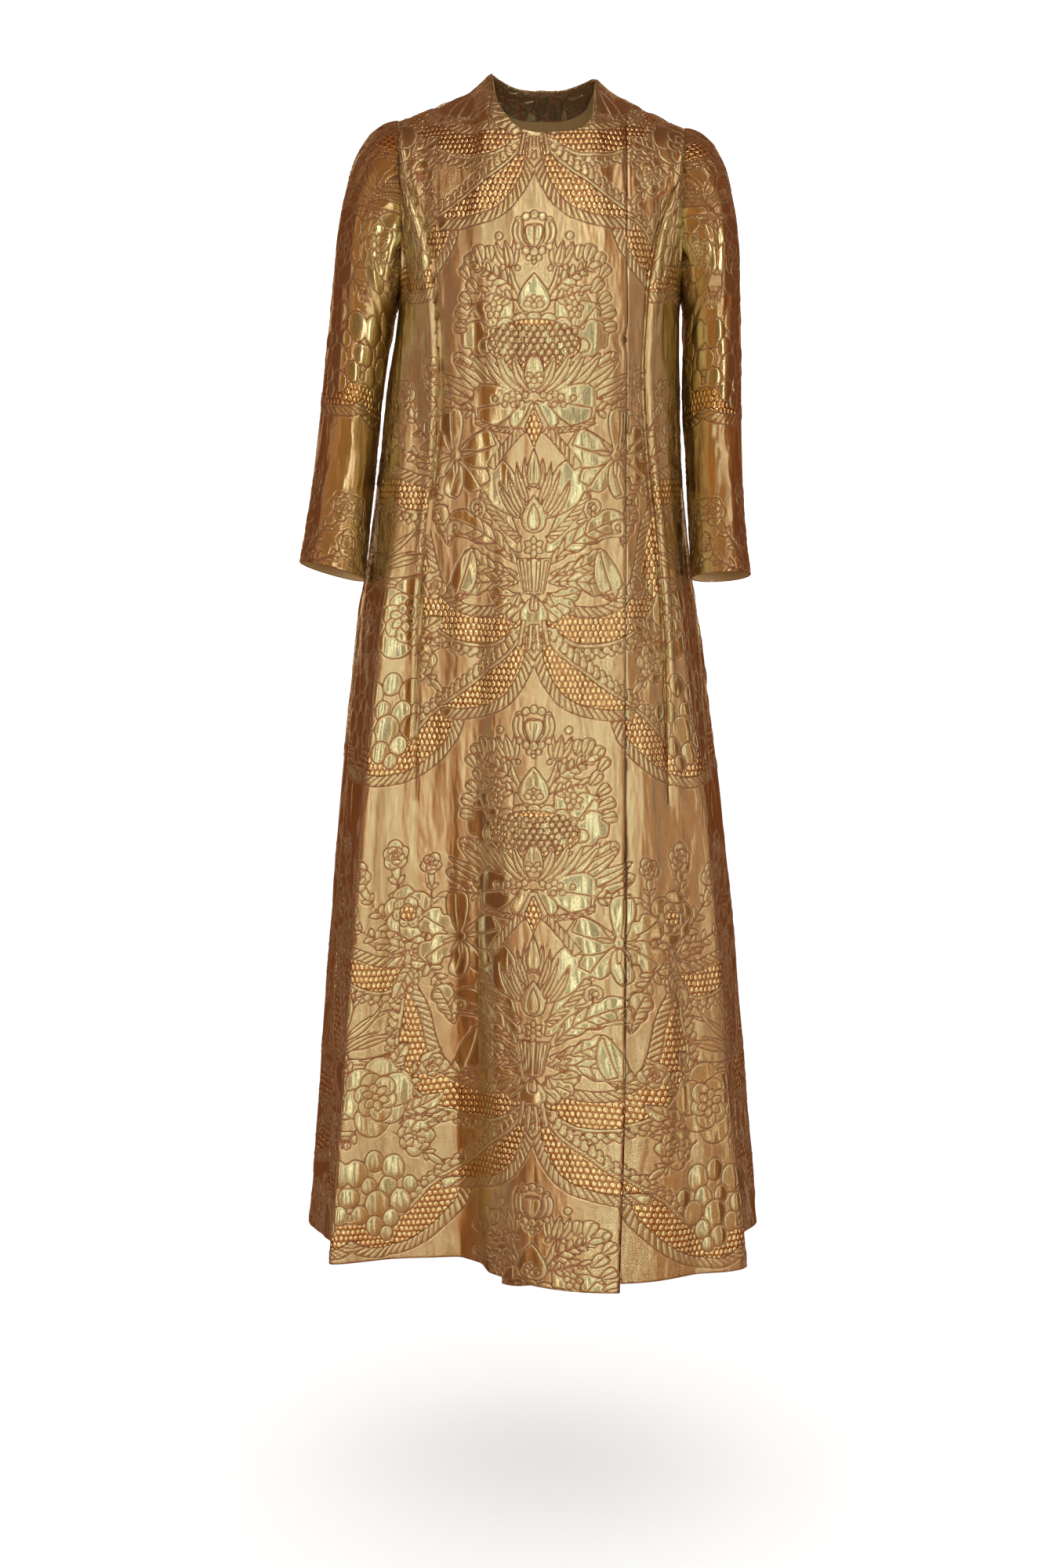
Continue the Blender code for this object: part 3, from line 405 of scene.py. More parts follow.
@dataclass
class Repeat:
    """One half repeat of the brocade, drawn on flat cloth in millimetres.

    The cloth mirrors it about the centre line, across 0, and about its far edge, and repeats it
    downwards. It has six fields. The first three hold signed distances, and a contour runs wherever
    one of them crosses zero, so contours stay sharp between the points of a shell. The others are
    satin, lace and puff.
    """

    half_width: float = 200.0
    height: float = 488.0
    pitch: float = 0.8
    margin: float = 7.0
    puff_scale: float = 0.55      # how much of their stated height the woven shapes stand up
    count: int = field(init=False, default=0)

    def __post_init__(self) -> None:
        """Start with bare ground."""
        self.size = (int(round(self.half_width / self.pitch)) + 1, int(round(self.height / self.pitch)))
        self.fields = np.full((6, self.size[1], self.size[0]), -20.0)
        self.fields[5] = 0.0

    def lay(self, outline: Array | Rows, surface: Surface = Surface.SATIN, puff: float = 0.8,
            soft: float = 2.8) -> None:
        """Lay a closed shape over what is drawn, at each height at which it repeats.

        Args:
            outline: its corners as across, down.
            surface: what it is woven in.
            puff: how high it stands, in millimetres.
            soft: over what distance it rises from its contour.
        """
        self.count += 1
        code = 1 + self.count % 7
        grows = (code & 1, code & 2, code & 4, surface is Surface.SATIN, surface is Surface.LACE)
        for shift in (-self.height, 0.0, self.height):
            shape = np.asarray(outline, float) + np.array([0.0, shift])
            first = np.maximum(np.floor((shape.min(0) - self.margin) / self.pitch).astype(int), 0)
            last = np.minimum(np.ceil((shape.max(0) + self.margin) / self.pitch).astype(int) + 1, self.size)
            if (last <= first).any():
                continue
            across, down = (np.arange(*ends) * self.pitch for ends in zip(first, last))
            inside = np.clip(self.depth_inside(*np.meshgrid(across, down), shape), -self.margin, None)
            here = self.fields[:, first[1]:last[1], first[0]:last[0]]
            for one, grow in zip(here, grows):
                one[:] = np.maximum(one, inside) if grow else np.minimum(one, -inside)
            pillow = self.puff_scale * puff * (1 - (1 - np.clip(inside / soft, 0, 1)) ** 2)
            here[5] = np.where(inside > 0, pillow, here[5])

    @staticmethod
    def depth_inside(across: Array, down: Array, outline: Array) -> Array:
        """Give each place's distance from a closed outline, above zero inside it.

        Args:
            across: places across.
            down: places down.
            outline: its corners.

        Returns:
            The distances, in millimetres.
        """
        nearest, crossings = np.full(across.shape, np.inf), np.zeros(across.shape, bool)
        for (ax, ay), (bx, by) in zip(outline, np.roll(outline, -1, axis=0)):
            px, py, dx, dy = across - ax, down - ay, bx - ax, by - ay
            part = np.clip((px * dx + py * dy) / max(dx * dx + dy * dy, 1e-9), 0, 1)
            nearest = np.minimum(nearest, (px - part * dx) ** 2 + (py - part * dy) ** 2)
            if ay != by:
                crossings ^= ((ay > down) != (by > down)) & (across < ax + dx * (down - ay) / dy)
        return np.where(crossings, np.sqrt(nearest), -np.sqrt(nearest))

    def read(self, across: Array, down: Array) -> Array:
        """Give the six fields at places on the cloth, along a last axis.

        Args:
            across: millimetres from the centre line.
            down: millimetres below the top of a centre motif.

        Returns:
            The signed distances, satin, lace and puff.
        """
        width = self.half_width
        folded = np.abs((across + width) % (2 * width) - width) / self.pitch
        fallen = (down % self.height) / self.pitch
        column, row = np.clip(folded.astype(int), 0, self.size[0] - 2), fallen.astype(int)
        part, fall = folded - column, fallen - row
        top, bottom = (self.fields[:, at % self.size[1], column] * (1 - part)
                       + self.fields[:, at % self.size[1], column + 1] * part for at in (row, row + 1))
        return np.moveaxis(top * (1 - fall) + bottom * fall, 0, -1)


def heading(degrees: float) -> Array:
    """Give the unit direction at an angle from straight up, clockwise."""
    return np.array([math.sin(math.radians(degrees)), -math.cos(math.radians(degrees))])


def bent(base: Sequence[float], tip: Sequence[float], bend: float, count: int = 25) -> Array:
    """Give points from base to tip, bowed to the right of the way by bend times its length.

    Args:
        base: the first point.
        tip: the last point.
        bend: the bow.
        count: how many points.

    Returns:
        The points.
    """
    base, tip = np.asarray(base, float), np.asarray(tip, float)
    middle = (base + tip) / 2 + bend * np.array([base[1] - tip[1], tip[0] - base[0]])
    part = np.linspace(0, 1, count)[:, None]
    return (1 - part) ** 2 * base + 2 * part * (1 - part) * middle + part ** 2 * tip


def smooth_path(points: Rows, step: float = 2.5) -> Array:
    """Give evenly spaced points on a smooth curve through the given ones.

    Args:
        points: the given points.
        step: about how far apart the new ones are.

    Returns:
        The new points.
    """
    points = np.asarray(points, float)
    length = arc(points, 0)
    place = np.linspace(0, length[-1], max(int(length[-1] / step), 6) + 1)
    low = np.minimum(np.searchsorted(length, place, side="right") - 1, len(points) - 2)
    part = ((place - length[low]) / (length[low + 1] - length[low]))[:, None]
    padded = np.concatenate([[2 * points[0] - points[1]], points, [2 * points[-1] - points[-2]]])
    a, b, c, d = (padded[low + index] for index in range(4))
    return 0.5 * (2 * b + (c - a) * part + (2 * a - 5 * b + 4 * c - d) * part ** 2
                  + (3 * b - a - 3 * c + d) * part ** 3)


def rightwards(path: Array) -> Array:
    """Give the unit direction to the right of the way at each point of a path."""
    way = unit(np.gradient(path, axis=0))
    return np.stack([-way[:, 1], way[:, 0]], axis=1)


def on_path(path: Array, run: Array, place: float) -> Array:
    """Give the point of a path at one place of its running length."""
    return np.array([np.interp(place, run, path[:, axis]) for axis in (0, 1)])


class Tip(Enum):
    """How a petal's width runs from base to tip, as the powers of its two ends."""

    POINTED = (0.75, 0.80)
    ROUND = (0.75, 0.32)
    OGEE = (0.50, 1.05)
    BLADE = (0.45, 0.95)


@dataclass
class Weaver:
    """Draws the motifs of the brocade into its repeat."""

    repeat: Repeat

    def petal(self, base: Sequence[float], tip: Sequence[float], width: float, bend: float = 0.0,
              shape: Tip = Tip.ROUND, lobes: int = 0, ribs: int = 0, puff: float = 0.9) -> None:
        """Draw a petal or leaf.

        Args:
            base: where it grows from.
            tip: its end.
            width: its full width.
            bend: how far its middle bows, as a part of its length.
            shape: how its width runs.
            lobes: how many lobes each edge has, 0 for a plain edge.
            ribs: how many side ribs each half has; 1 draws the middle rib alone, 0 none.
            puff: how high it stands.
        """
        axis = bent(base, tip, bend)
        part, last = np.linspace(0, 1, len(axis)), len(axis) - 1
        low, high = shape.value
        peak = (low / (low + high)) ** low * (high / (low + high)) ** high
        half = width / 2 * part ** low * (1 - part) ** high / peak
        if lobes:
            half = half * (0.78 + 0.30 * np.abs(np.sin(np.pi * (lobes * part + 0.15))))
        out = rightwards(axis) * half[:, None]
        self.repeat.lay(np.concatenate([axis + out, (axis - out)[::-1]]), puff=puff)
        if ribs:
            self.repeat.lay(np.concatenate([axis[2:-2], (axis + 0.97 * out)[2:-2][::-1]]), puff=puff)
        marks = np.linspace(2, last - 5, ribs + 1).astype(int)
        for edge in (axis + 0.9 * out, axis - 0.9 * out) if ribs > 1 else ():
            for first, second in zip(marks[:-1:2], marks[1::2]):
                corners = [axis[first], axis[second], edge[min(second + 3, last - 1)], edge[first + 3]]
                self.repeat.lay(corners, puff=puff * 0.9, soft=2.5)

    def leaves(self, table: Rows, shape: Tip, puff: float = 0.9) -> None:
        """Draw each leaf of a table."""
        for base_x, base_y, tip_x, tip_y, width, bend, lobes, ribs in table:
            self.petal((base_x, base_y), (tip_x, tip_y), width, bend, shape, lobes, ribs, puff)

    def sprays(self, table: Rows) -> None:
        """Draw each stem of a table, with pairs of leaves that grow smaller towards its tip.

        Args:
            table: rows as the design's spray tables have them.
        """
        for base_x, base_y, tip_x, tip_y, bend, leaf, pairs in table:
            stem = bent((base_x, base_y), (tip_x, tip_y), bend, 4 * pairs + 5)
            right = rightwards(stem)
            for index in range(pairs):
                at = 4 * index + 3
                ahead = np.array([right[at][1], -right[at][0]])
                length = leaf * (1 - 0.5 * index / pairs)
                for side in (-1, 1):
                    end = stem[at] + length * (0.72 * ahead + 0.70 * side * right[at])
                    self.petal(stem[at], end, 0.46 * length, -0.16 * side, Tip.POINTED, puff=1.1)
            self.strip(stem, 1.4, puff=0.7)
            end = stem[-1] + 0.3 * leaf * unit(stem[-1] - stem[-5])
            self.petal(stem[-5], end, 0.45 * leaf, 0.0, Tip.POINTED, puff=1.1)

    def disc(self, centre: Sequence[float], radius: float, puff: float = 0.7,
             surface: Surface = Surface.SATIN, squash: float = 1.0) -> None:
        """Draw a round, such as a berry or a bead.

        Args:
            centre: its middle.
            radius: half its width.
            puff: how high it stands.
            surface: what it is woven in.
            squash: its height as a part of its width.
        """
        angle = np.linspace(0, 2 * np.pi, 18, endpoint=False)
        ring = np.stack([radius * np.cos(angle), radius * squash * np.sin(angle)], 1)
        self.repeat.lay(ring + np.asarray(centre, float), surface, puff, soft=0.8 * radius)

    def discs(self, table: Rows, puff: float, squash: float = 1.0) -> None:
        """Draw each round of a table."""
        for across, down, radius in table:
            self.disc((across, down), radius, puff, squash=squash)

    def burst(self, centre: Sequence[float], length: float, count: int, width: float,
              start: float = 0.0, sweep: float = 360.0) -> None:
        """Draw thin petals that spread from a centre, with a bead there.

        Args:
            centre: where they spread from.
            length: their reach.
            count: how many.
            width: the width of each.
            start: the first one's angle.
            sweep: the angle that they fill.
        """
        for index in range(count):
            way = length * heading(start + sweep * index / max(count - (sweep < 360), 1))
            centre = np.asarray(centre, float)
            self.petal(centre + 0.15 * way, centre + way, width, shape=Tip.POINTED, puff=0.6)
        self.disc(centre, 0.2 * length + 0.8, 0.6)

    def bloom(self, centre: Sequence[float], radius: float, petals: int, turn: float = 0.0,
              heart: Surface = Surface.SATIN) -> None:
        """Draw an open flower: outer petals, inner petals and a heart.

        Args:
            centre: its middle.
            radius: its reach.
            petals: how many in a ring.
            turn: the first one's angle.
            heart: what its heart is woven in.
        """
        for reach, start in ((1.0, 0.0), (0.62, 0.5)):
            for index in range(petals):
                way = heading(turn + 360 * (index + start) / petals)
                size = radius * reach * (1 + 0.10 * math.sin(2.4 * index + 1.0))
                self.disc(np.asarray(centre, float) + 0.58 * size * way, 2.7 * size / petals, 1.2)
        if heart is Surface.LACE:
            self.disc(centre, 0.34 * radius, 0.5, heart)
        else:
            self.burst(centre, 0.40 * radius, 6, 0.24 * radius, start=12)

    def strip(self, path: Array, width: float | Array, surface: Surface = Surface.SATIN,
              puff: float = 0.6) -> None:
        """Draw a band of a width along a path."""
        out = rightwards(path) * np.broadcast_to(width, (len(path),))[:, None] / 2
        self.repeat.lay(np.concatenate([path + out, (path - out)[::-1]]), surface, puff,
                        soft=max(float(np.max(width)) / 2, 1.5))

    def rope(self, path: Array, width: float, pitch: float = 7.0) -> None:
        """Draw a twisted cord along a path, as slanted strands.

        Args:
            path: points along its middle.
            width: its width.
            pitch: how far apart its strands are.
        """
        run, out = arc(path, 0), rightwards(path) * width / 2
        self.strip(path, width, puff=0.3)
        for place in np.arange(pitch / 2, run[-1] - pitch / 2, pitch):
            strand = [on_path(path + side * out, run, place + side * shift * pitch)
                      for side, shift in ((-1, 1.25), (-1, 0.35), (1, 1.25), (1, 0.35))]
            self.repeat.lay(strand, puff=1.7, soft=2.6)

    def ribbon(self, points: Rows, width: float, flip: int = 1, taper: float = 0.25) -> None:
        """Draw a lace ribbon: beads and a smooth band along one edge, a cord along the other.

        Args:
            points: points along its middle.
            width: its full width in the middle.
            flip: 1 puts the band to the right of the way, -1 to the left.
            taper: how much of its length narrows at each end.
        """
        path = smooth_path(points)
        part = np.linspace(0, 1, len(path))
        half = width / 2 * np.clip(np.minimum(part, 1 - part) / taper, 0.12, 1) ** 0.6
        out = rightwards(path) * flip
        band, cord = path + out * half[:, None], path - out * half[:, None]
        run = arc(band, 0)
        for first, reach, radius in ((4.0, 9.6, 3.4), (8.5, 5.4, 4.0)):
            for place in np.arange(first, run[-1] - 3, 9.0):
                self.disc(on_path(band + out * reach, run, place), radius, 0.6)
        self.strip(path, 2 * half, Surface.LACE, 0.35)
        self.rope(cord, 11.0)
        self.strip(band, 4.0, puff=1.2)

    def spiral(self, centre: Sequence[float], radius: float, start: float, hand: int,
               tail: Sequence[float], width: float = 5.0) -> None:
        """Draw a scroll: a band that runs from its tail and curls round a centre.

        Args:
            centre: the middle of the curl.
            radius: its outer reach.
            start: the angle at which it begins.
            hand: 1 clockwise, -1 the other way.
            tail: where the band begins.
            width: the band's width at its end.
        """
        angle = np.radians(start) + hand * np.linspace(0, 3.6 * np.pi / 2, 22)
        curl = np.linspace(radius, 0.35 * radius, 22)
        ring = np.stack([curl * np.sin(angle), -curl * np.cos(angle)], 1) + np.asarray(centre)
        path = np.concatenate([bent(tail, ring[0], 0.12 * hand, 12)[:-1], ring])
        self.strip(path, np.linspace(0.6 * width, width, len(path)), puff=0.9)
        self.disc(centre, 0.32 * radius, 0.8)


@dataclass
class BrocadeDesign:
    """The layout of the brocade: a crowned bouquet, lace ribbons, and a side spray with fruit.

    Leaf tables have the columns base across, base down, tip across, tip down, width, bend, lobes and
    ribs. Spray tables have base across, base down, tip across, tip down, bend, leaf length and pairs.
    Bloom tables have across, down, radius, petals and turn. Disc tables have across, down and radius.
    All are in millimetres.
    """

    weaver: Weaver
    back_leaves: Rows = (
        (20, 116, 50, 78, 32, -0.05, 3, 0), (32, 128, 62, 90, 30, 0.06, 4, 1),
        (34, 146, 72, 112, 30, -0.05, 3, 0), (34, 160, 84, 138, 16, 0.14, 4, 3),
        (22, 186, 100, 170, 15, 0.14, 5, 3), (12, 334, 48, 284, 32, 0.1, 0, 0),
        (8, 300, 50, 246, 40, 0.05, 0, 0), (16, 346, 92, 300, 27, -0.16, 4, 5),
        (16, 356, 74, 334, 20, 0.14, 4, 5), (14, 364, 92, 376, 24, -0.14, 4, 5),
        (66, 330, 80, 376, 26, 0.05, 0, 1), (90, 330, 106, 288, 20, -0.1, 3, 5))
    back_sprays: Rows = ((15, 80, 62, 52, -0.12, 16, 5), (14, 88, 54, 74, 0.06, 12, 3),
                         (40, 196, 104, 196, -0.08, 14, 4))
    round_leaves: Rows = ((44, 40, 6), (54, 40, 7), (64, 47, 6.5), (70, 58, 6), (62, 72, 6.5),
                          (70, 84, 6), (74, 98, 6.5), (76, 112, 6))
    crown_beads: Rows = ((35, 24, 4.2), (16, 56, 3), (31, 55, 3), (0, 3, 4.5), (8, 5, 4.2), (15, 9, 3.8))
    tulip_beads: Rows = ((0, 40, 4.4), (8, 39, 3.8), (15, 35, 3.4), (5, 46, 3.2), (0, 50, 2.6))
    fruit: Rows = ((0, 107, 8.5), (14, 108, 9), (28, 113, 9.5), (40, 121, 9), (48, 131, 7))
    lotus: Rows = (
        (12, 182, 98, 156, 15, 0.16, 0, 1), (10, 181, 84, 144, 15, 0.18, 0, 1),
        (8, 180, 66, 137, 14, 0.2, 0, 1), (6, 179, 50, 136, 12, 0.22, 0, 1),
        (4, 178, 35, 138, 11, 0.22, 0, 1), (2, 177, 20, 141, 10, 0.16, 0, 1), (0, 176, 0, 138, 20, 0, 0, 1))
    wings: Rows = ((14, 184, 62, 192, 44, 0, 0, 1), (2, 184, 17, 213, 25, 0.04, 0, 1))
    berries: Rows = ((9, 179, 3.4), (15, 181, 3.4), (21, 178, 3.4), (27, 181, 3.4), (33, 179, 3.4),
                     (39, 182, 3), (12, 187, 3), (20, 188, 3), (29, 188, 3))
    lily: Rows = (
        (82, 236, 86, 190, 26, 0.1, 0, 1), (82, 238, 122, 214, 28, 0.1, 3, 1),
        (82, 238, 120, 262, 28, -0.1, 3, 1), (80, 240, 54, 272, 30, 0.12, 0, 1),
        (82, 238, 34, 226, 38, -0.08, 0, 1), (80, 240, 90, 280, 20, 0.1, 0, 1))
    lower_blades: Rows = (
        (14, 300, 36, 262, 9, 0.14, 0, 1), (10, 296, 26, 252, 9, 0.14, 0, 1),
        (6, 284, 17, 244, 8, 0.12, 0, 1), (4, 272, 9, 238, 7, 0.1, 0, 1),
        (0, 270, 0, 230, 14, 0, 0, 1), (0, 315, 0, 277, 25, 0, 0, 0), (0, 312, 0, 285, 12, 0, 0, 0))
    pendants: Rows = (
        (12, 378, 46, 374, 15, 0.1, 3, 1), (10, 382, 40, 392, 16, -0.1, 3, 1),
        (6, 386, 26, 402, 15, -0.06, 0, 1), (0, 378, 0, 406, 28, 0, 0, 0),
        (0, 376, 0, 393, 9, 0, 0, 1), (14, 374, 21, 388, 10, 0, 0, 1))
    flames: Rows = (
        (200, 346, 140, 312, 5.5, 0.24, 0, 0), (200, 350, 132, 326, 5.5, -0.18, 0, 0),
        (200, 342, 156, 300, 5.5, -0.2, 0, 0), (200, 356, 138, 340, 5.5, 0.22, 0, 0),
        (200, 338, 176, 292, 5.5, 0.2, 0, 0), (200, 362, 150, 356, 5.5, -0.18, 0, 0),
        (200, 334, 192, 288, 5, -0.14, 0, 0), (200, 352, 160, 334, 4.5, 0.12, 0, 0),
        (200, 366, 166, 370, 5, 0.16, 0, 0))
    side_sprays: Rows = (
        (124, 248, 150, 164, 0.12, 20, 4), (126, 250, 186, 186, 0.1, 19, 4),
        (128, 252, 200, 222, 0.1, 17, 4), (120, 246, 114, 172, -0.1, 15, 4),
        (118, 256, 90, 300, -0.1, 15, 3), (150, 440, 104, 474, 0.1, 16, 3),
        (184, 432, 204, 458, -0.08, 13, 2), (138, 398, 104, 356, 0.1, 15, 3),
        (190, 384, 204, 352, 0.06, 13, 2), (152, 300, 132, 268, -0.05, 11, 2))
    side_leaves: Rows = (
        (126, 256, 176, 244, 15, -0.12, 3, 5), (124, 262, 146, 304, 17, -0.12, 3, 5),
        (146, 420, 98, 400, 20, -0.12, 3, 5), (142, 432, 102, 432, 16, 0.12, 3, 5),
        (188, 410, 210, 420, 20, 0, 0, 1), (150, 380, 132, 346, 18, 0.1, 3, 5))
    upper_blooms: Rows = ((150, 156, 13, 5, 150), (190, 176, 14, 5, 190), (114, 164, 10, 5, 114),
                          (202, 212, 13, 5, 202))
    lower_blooms: Rows = ((126, 446, 20, 7, 20), (108, 370, 12, 5, 40), (166, 402, 38, 6, -12))
    grapes: Rows = (
        (170, 470, 10), (150, 478, 12), (190, 482, 12.5), (134, 496, 8), (157, 499, 10), (177, 497, 8.5),
        (197, 508, 9), (145, 514, 11), (170, 517, 13), (189, 527, 9), (156, 533, 8.5), (174, 540, 9.5),
        (162, 549, 7))

    def draw(self) -> None:
        """Draw the whole half repeat, from what lies deepest to what lies on top."""
        self.draw_ribbons()
        self.draw_side_spray()
        self.draw_crown()
        self.draw_lotus()
        self.draw_vase()

    def draw_ribbons(self) -> None:
        """Draw the lace ribbons that swing out from the centre and under the fruit."""
        ribbon = self.weaver.ribbon
        ribbon(((-10, 396), (20, 400), (50, 411), (84, 406), (112, 384), (126, 350), (128, 316),
                (134, 286)), 34)
        ribbon(((128, 262), (150, 278), (176, 276), (200, 262), (212, 250)), 32, taper=0.35)
        ribbon(((84, 478), (100, 508), (132, 540), (168, 552), (200, 546), (220, 540)), 34, -1, 0.22)
        ribbon(((6, 414), (18, 444), (42, 470), (74, 486), (104, 494)), 36, -1, 0.45)

    def draw_side_spray(self) -> None:
        """Draw the spray beside the centre: flame grass, leaves, blooms and fruit."""
        weaver = self.weaver
        weaver.leaves(self.flames, Tip.BLADE, 0.6)
        weaver.sprays(self.side_sprays)
        weaver.leaves(self.side_leaves, Tip.POINTED)
        for across, down, radius, petals, turn in self.upper_blooms:
            weaver.bloom((across, down), radius, petals, turn)
        weaver.bloom((136, 214), 25, 6, 14, Surface.LACE)
        weaver.bloom((124, 254), 15, 6)
        weaver.discs(self.grapes, 2.2, squash=1.22)
        for across, down, radius, petals, turn in self.lower_blooms:
            weaver.bloom((across, down), radius, petals, turn)

    def draw_crown(self) -> None:
        """Draw the top of the centre: leaves, crown, tulips and fruit."""
        weaver = self.weaver
        weaver.leaves(self.back_leaves, Tip.ROUND)
        for across, down, radius in self.round_leaves:
            centre = np.array([across, down], float)
            way = radius * unit(centre - np.array([24.0, 118.0]))
            weaver.petal(centre - 1.6 * way, centre + 1.2 * way, 1.9 * radius, 0.05, ribs=1)
        weaver.sprays(self.back_sprays)
        weaver.petal((10, 88), (24, 50), 5, 0.14, Tip.BLADE)
        for tip, bend in (((20, 27), -0.20), ((38, 29), 0.20), ((29, 28), 0.0)):
            weaver.petal((23, 54), tip, 10, bend, Tip.BLADE, ribs=1)
        weaver.discs(self.crown_beads, 0.8)
        weaver.petal((3, 38), (13, 8), 11, 0.50, ribs=1)
        weaver.petal((0, 37), (0, 12), 19, ribs=1)
        weaver.discs(self.tulip_beads, 0.6)
        weaver.petal((0, 100), (0, 60), 32, shape=Tip.OGEE, puff=1.1)
        weaver.burst((0, 92), 10.5, 5, 6.0, start=-80, sweep=160)
        weaver.burst((40, 96), 9.5, 5, 6.5)
        weaver.discs(self.fruit, 1.0)

    def draw_lotus(self) -> None:
        """Draw the middle of the centre: the lace body with its seeds, lotus and wings."""
        weaver = self.weaver
        angle = np.linspace(0, 2 * np.pi, 40, endpoint=False)
        body = np.stack([46 * np.cos(angle), 129 + 24 * np.sin(angle)], 1)
        weaver.repeat.lay(body, Surface.LACE, 0.6, 8.0)
        for row, down in enumerate(np.arange(114.0, 150.0, 6.0)):
            for across in np.arange(3.7 * (row % 2), 44 - 0.045 * (down - 128) ** 2, 7.4):
                weaver.disc((across, down - 0.002 * across ** 2), 3.1, 1.6)
        weaver.leaves(self.lotus, Tip.POINTED)
        weaver.leaves(self.wings, Tip.ROUND)
        weaver.burst((0, 165), 10.5, 5, 6.0, start=-80, sweep=160)
        weaver.discs(self.berries, 0.6)
        weaver.rope(bent((18, 213), (60, 204), 0.14, 14), 6.0, 5.0)

    def draw_vase(self) -> None:
        """Draw the lower half of the centre: lily, blades, scrolls, vase and pendants."""
        weaver, lay = self.weaver, self.weaver.repeat.lay
        weaver.leaves(self.lily, Tip.ROUND)
        weaver.burst((82, 238), 22.0, 9, 4.2, start=-80, sweep=300)
        lay([(0, 190), (9, 210), (0, 230), (-9, 210)], Surface.LACE, 0.4)
        weaver.rope(bent((12, 212), (44, 250), -0.05, 14), 9.0)
        weaver.leaves(self.lower_blades, Tip.OGEE)
        weaver.rope(bent((14, 322), (54, 276), 0.12, 16), 8.0)
        weaver.spiral((60, 290), 10.0, 200, 1, (42, 304))
        weaver.spiral((84, 310), 8.0, 160, -1, (64, 322))
        weaver.leaves(self.pendants, Tip.ROUND)
        lay([(-1, 340), (18, 340), (14, 358), (10, 375), (-1, 377)], puff=1.0)
        for left, right in ((3, 7), (11, 15)):
            lay([(left, 342), (right, 342), (0.62 * right, 374), (0.62 * left, 374)], puff=0.9, soft=2.0)
        weaver.burst((0, 329), 11.0, 6, 6.5)
        for base, tip in (((3, 406), (5, 432)), ((10, 402), (14, 428))):
            weaver.strip(bent(base, tip, 0.0, 8), 4.0)


